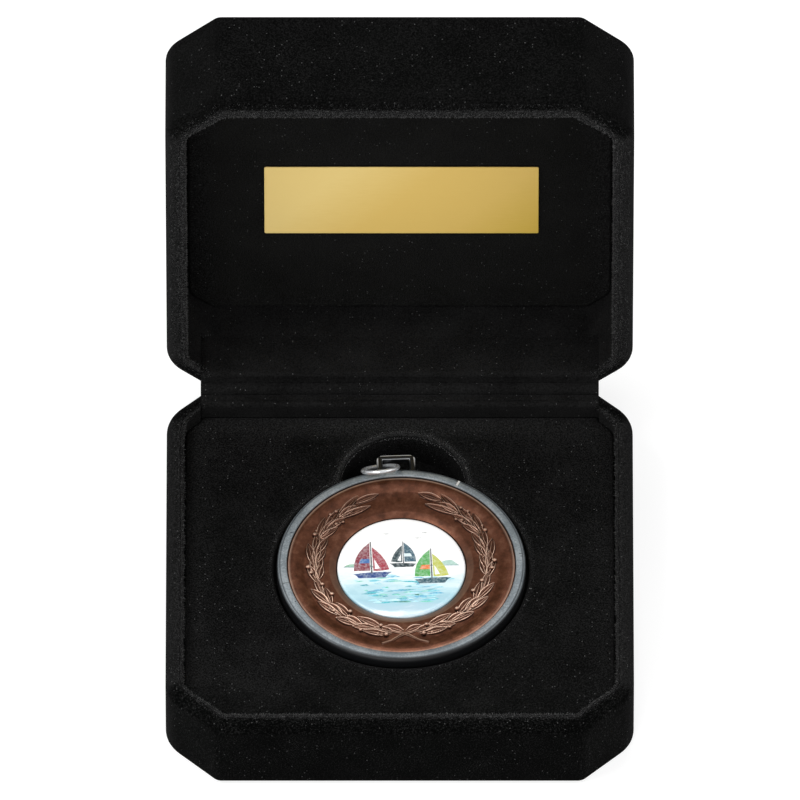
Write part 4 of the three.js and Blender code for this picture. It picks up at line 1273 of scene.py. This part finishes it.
def boat(x, y, size, hull, main, jib, stripe, mirror=1):
    """A hull, a mast and two sails with a stripe, from the sea line upwards."""
    shapes = [
        (hull, [(-2.6, 0.75, -0.03), (2.9, 1.0, 0.1), (1.9, 0, 0), (-1.9, 0, 0.1)], 1),
        ("#3a4046", [(-0.1, 0.8, 0), (0.12, 0.8, 0), (0.1, 6.6, 0), (-0.06, 6.6, 0)], 1),
        (main, [(-2.5, 1.35, 0.0), (-0.2, 1.35, 0), (-0.15, 6.4, 0.12)], 2),
        (stripe, [(-1.75, 2.7, 0), (-0.2, 2.7, 0), (-0.2, 3.5, 0), (-1.4, 3.5, 0)], 3),
        (jib, [(0.25, 1.3, 0.05), (2.5, 1.5, 0.08), (0.2, 5.6, 0)], 2),
        ("#ffffff", [(0.5, 1.6, 0), (1.2, 1.7, 0), (0.45, 3.4, 0)], 3),
    ]
    return [(code, [(x + mirror * px * size, y + py * size) for px, py in bowed(outline)], level)
            for code, outline, level in shapes]


# The far shore: a line of land and a hill on either side.
shapes = [("#5c7f8c", bowed([(-11.6, 0.35, 0.01), (-3, 0.15, 0), (-3, 0.27, 0), (-11.6, 0.5, 0.01)]), 1),
          ("#8fb9a0", bowed([(-11.5, 0.45, 0), (-5.5, 0.35, 0.0), (-7.2, 1.5, 0.1), (-9.6, 1.1, 0.12)]), 1),
          ("#5c7f8c", bowed([(4.4, 0.2, 0), (11.6, 0.0, 0.0), (11.6, 0.13, 0), (4.4, 0.33, 0)]), 1),
          ("#a7c8bd", bowed([(6.2, 0.3, 0), (11.5, 0.15, 0), (10.2, 1.4, 0.12), (8.1, 1.0, 0.1)]), 1)]
# Short brush strokes of water below the boats.
strokes, stroke_count, sea_line, sea_depth, sea_radius = Random(12), 110, -1.6, 7.6, 11.4
sea_colours = ["#8fd0dd", "#5fc0d2", "#3fb0bf", "#a8d9e6", "#6cc5b4", "#b9e2ee", "#4aa5c8", "#2f97a8"]
for _ in range(stroke_count):
    y = sea_line - sea_depth * strokes.random() ** 0.7
    reach = sqrt(max(sea_radius ** 2 - y ** 2, 0))
    length = strokes.uniform(0.8, 3.6)
    x = strokes.uniform(-reach, reach - length)
    rise = strokes.uniform(0.1, 0.4)
    code = strokes.choice(sea_colours)
    far_end = (x + length, y + strokes.uniform(-0.15, 0.15), 0)
    shapes.append((code, bowed([(x, y, 0.04), far_end, (x + length * 0.7, y + rise, 0.03)]), 1))
shapes += boat(-6.0, -2.6, 1.42, "#22407e", "#7c1f33", "#9c3444", "#3c6aa6")
shapes += boat(0.5, 0.0, 1.0, "#1a2c33", "#36596a", "#22383f", "#d9e8ec", -1)
shapes += boat(6.0, -4.4, 1.36, "#1e4c5a", "#4ea04e", "#b9bd4c", "#e0793a")
for x, y in ((-2.6, 8.7), (3.6, 7.4), (5.1, 8.7)):
    bird = [(x - 0.7, y + 0.22, 0.12), (x, y, 0.12), (x + 0.7, y + 0.26, -0.18), (x, y + 0.12, -0.12)]
    shapes.append(("#4a5a62", bowed(bird), 1))
# Each shape is a layer of ink a hair above the one before, so that none lie in one plane.
points, faces, tints = [], [], []
for number, (code, outline, level) in enumerate(shapes):
    low, high, first = centre_high - ink_root, centre_high + ink_sheet * level + number * ink_step, len(points)
    points += [(x, y, low) for x, y in outline] + [(x, y, high) for x, y in outline]
    count = len(outline)
    faces += [tuple(range(first, first + count)), tuple(range(first + count, first + 2 * count))]
    faces += [(first + a, first + b, first + count + b, first + count + a) for a, b in
              ((k, (k + 1) % count) for k in range(count))]
    tints += linear(code) * (2 * count)
mesh = bpy.data.meshes.new("centre_print")
mesh.from_pydata(points, [], faces)
mesh.attributes.new("ink", "FLOAT_COLOR", "POINT").data.foreach_set("color", tints)
work = bmesh.new()
work.from_mesh(mesh)
bmesh.ops.recalc_face_normals(work, faces=work.faces)
work.to_mesh(mesh)
work.free()
print_piece = new_object("centre_print", mesh)
print_piece.data.transform(medal_place)
print_piece.data.materials.append(ink)
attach(print_piece, "medal")

# Jump ring
# Bright nickel plated wire, coiled and cut, so its two ends butt together with a fine gap.
ring_radius, wire_radius, ring_gap, cut_edge = 3.53, 0.46, 0.02, 0.08
ring_seat, ring_yaw, ring_pitch, cut_heading, ring_steps = (-3.2, 24.72, 4.09), radians(7.5), radians(-41.7), 200, 96
# Plating on smooth drawn wire shines almost like a mirror, with faint clouds.
nickel = metal("bright nickel plated wire", "#b9bcbf", "#dcdee0", 0.14, 0.26, 0.4, bump=0.05, metallic=0.65)
ring_turn = Matrix.Rotation(ring_yaw, 4, "Z") @ Matrix.Rotation(ring_pitch, 4, "X")
ring_place = medal_place @ Matrix.Translation(ring_seat) @ ring_turn
turns = [radians(cut_heading) + ring_gap + (2 * pi - 2 * ring_gap) * k / ring_steps for k in range(ring_steps + 1)]
ends = [wire_radius - cut_edge] + [wire_radius] * (ring_steps - 1) + [wire_radius - cut_edge]
wire = tube("split_ring", [(ring_radius * cos(t), ring_radius * sin(t), 0) for t in turns], ends, 20)
placed(wire, ring_place, nickel, 60)
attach(wire, "jump_ring")
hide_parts("jump_ring")
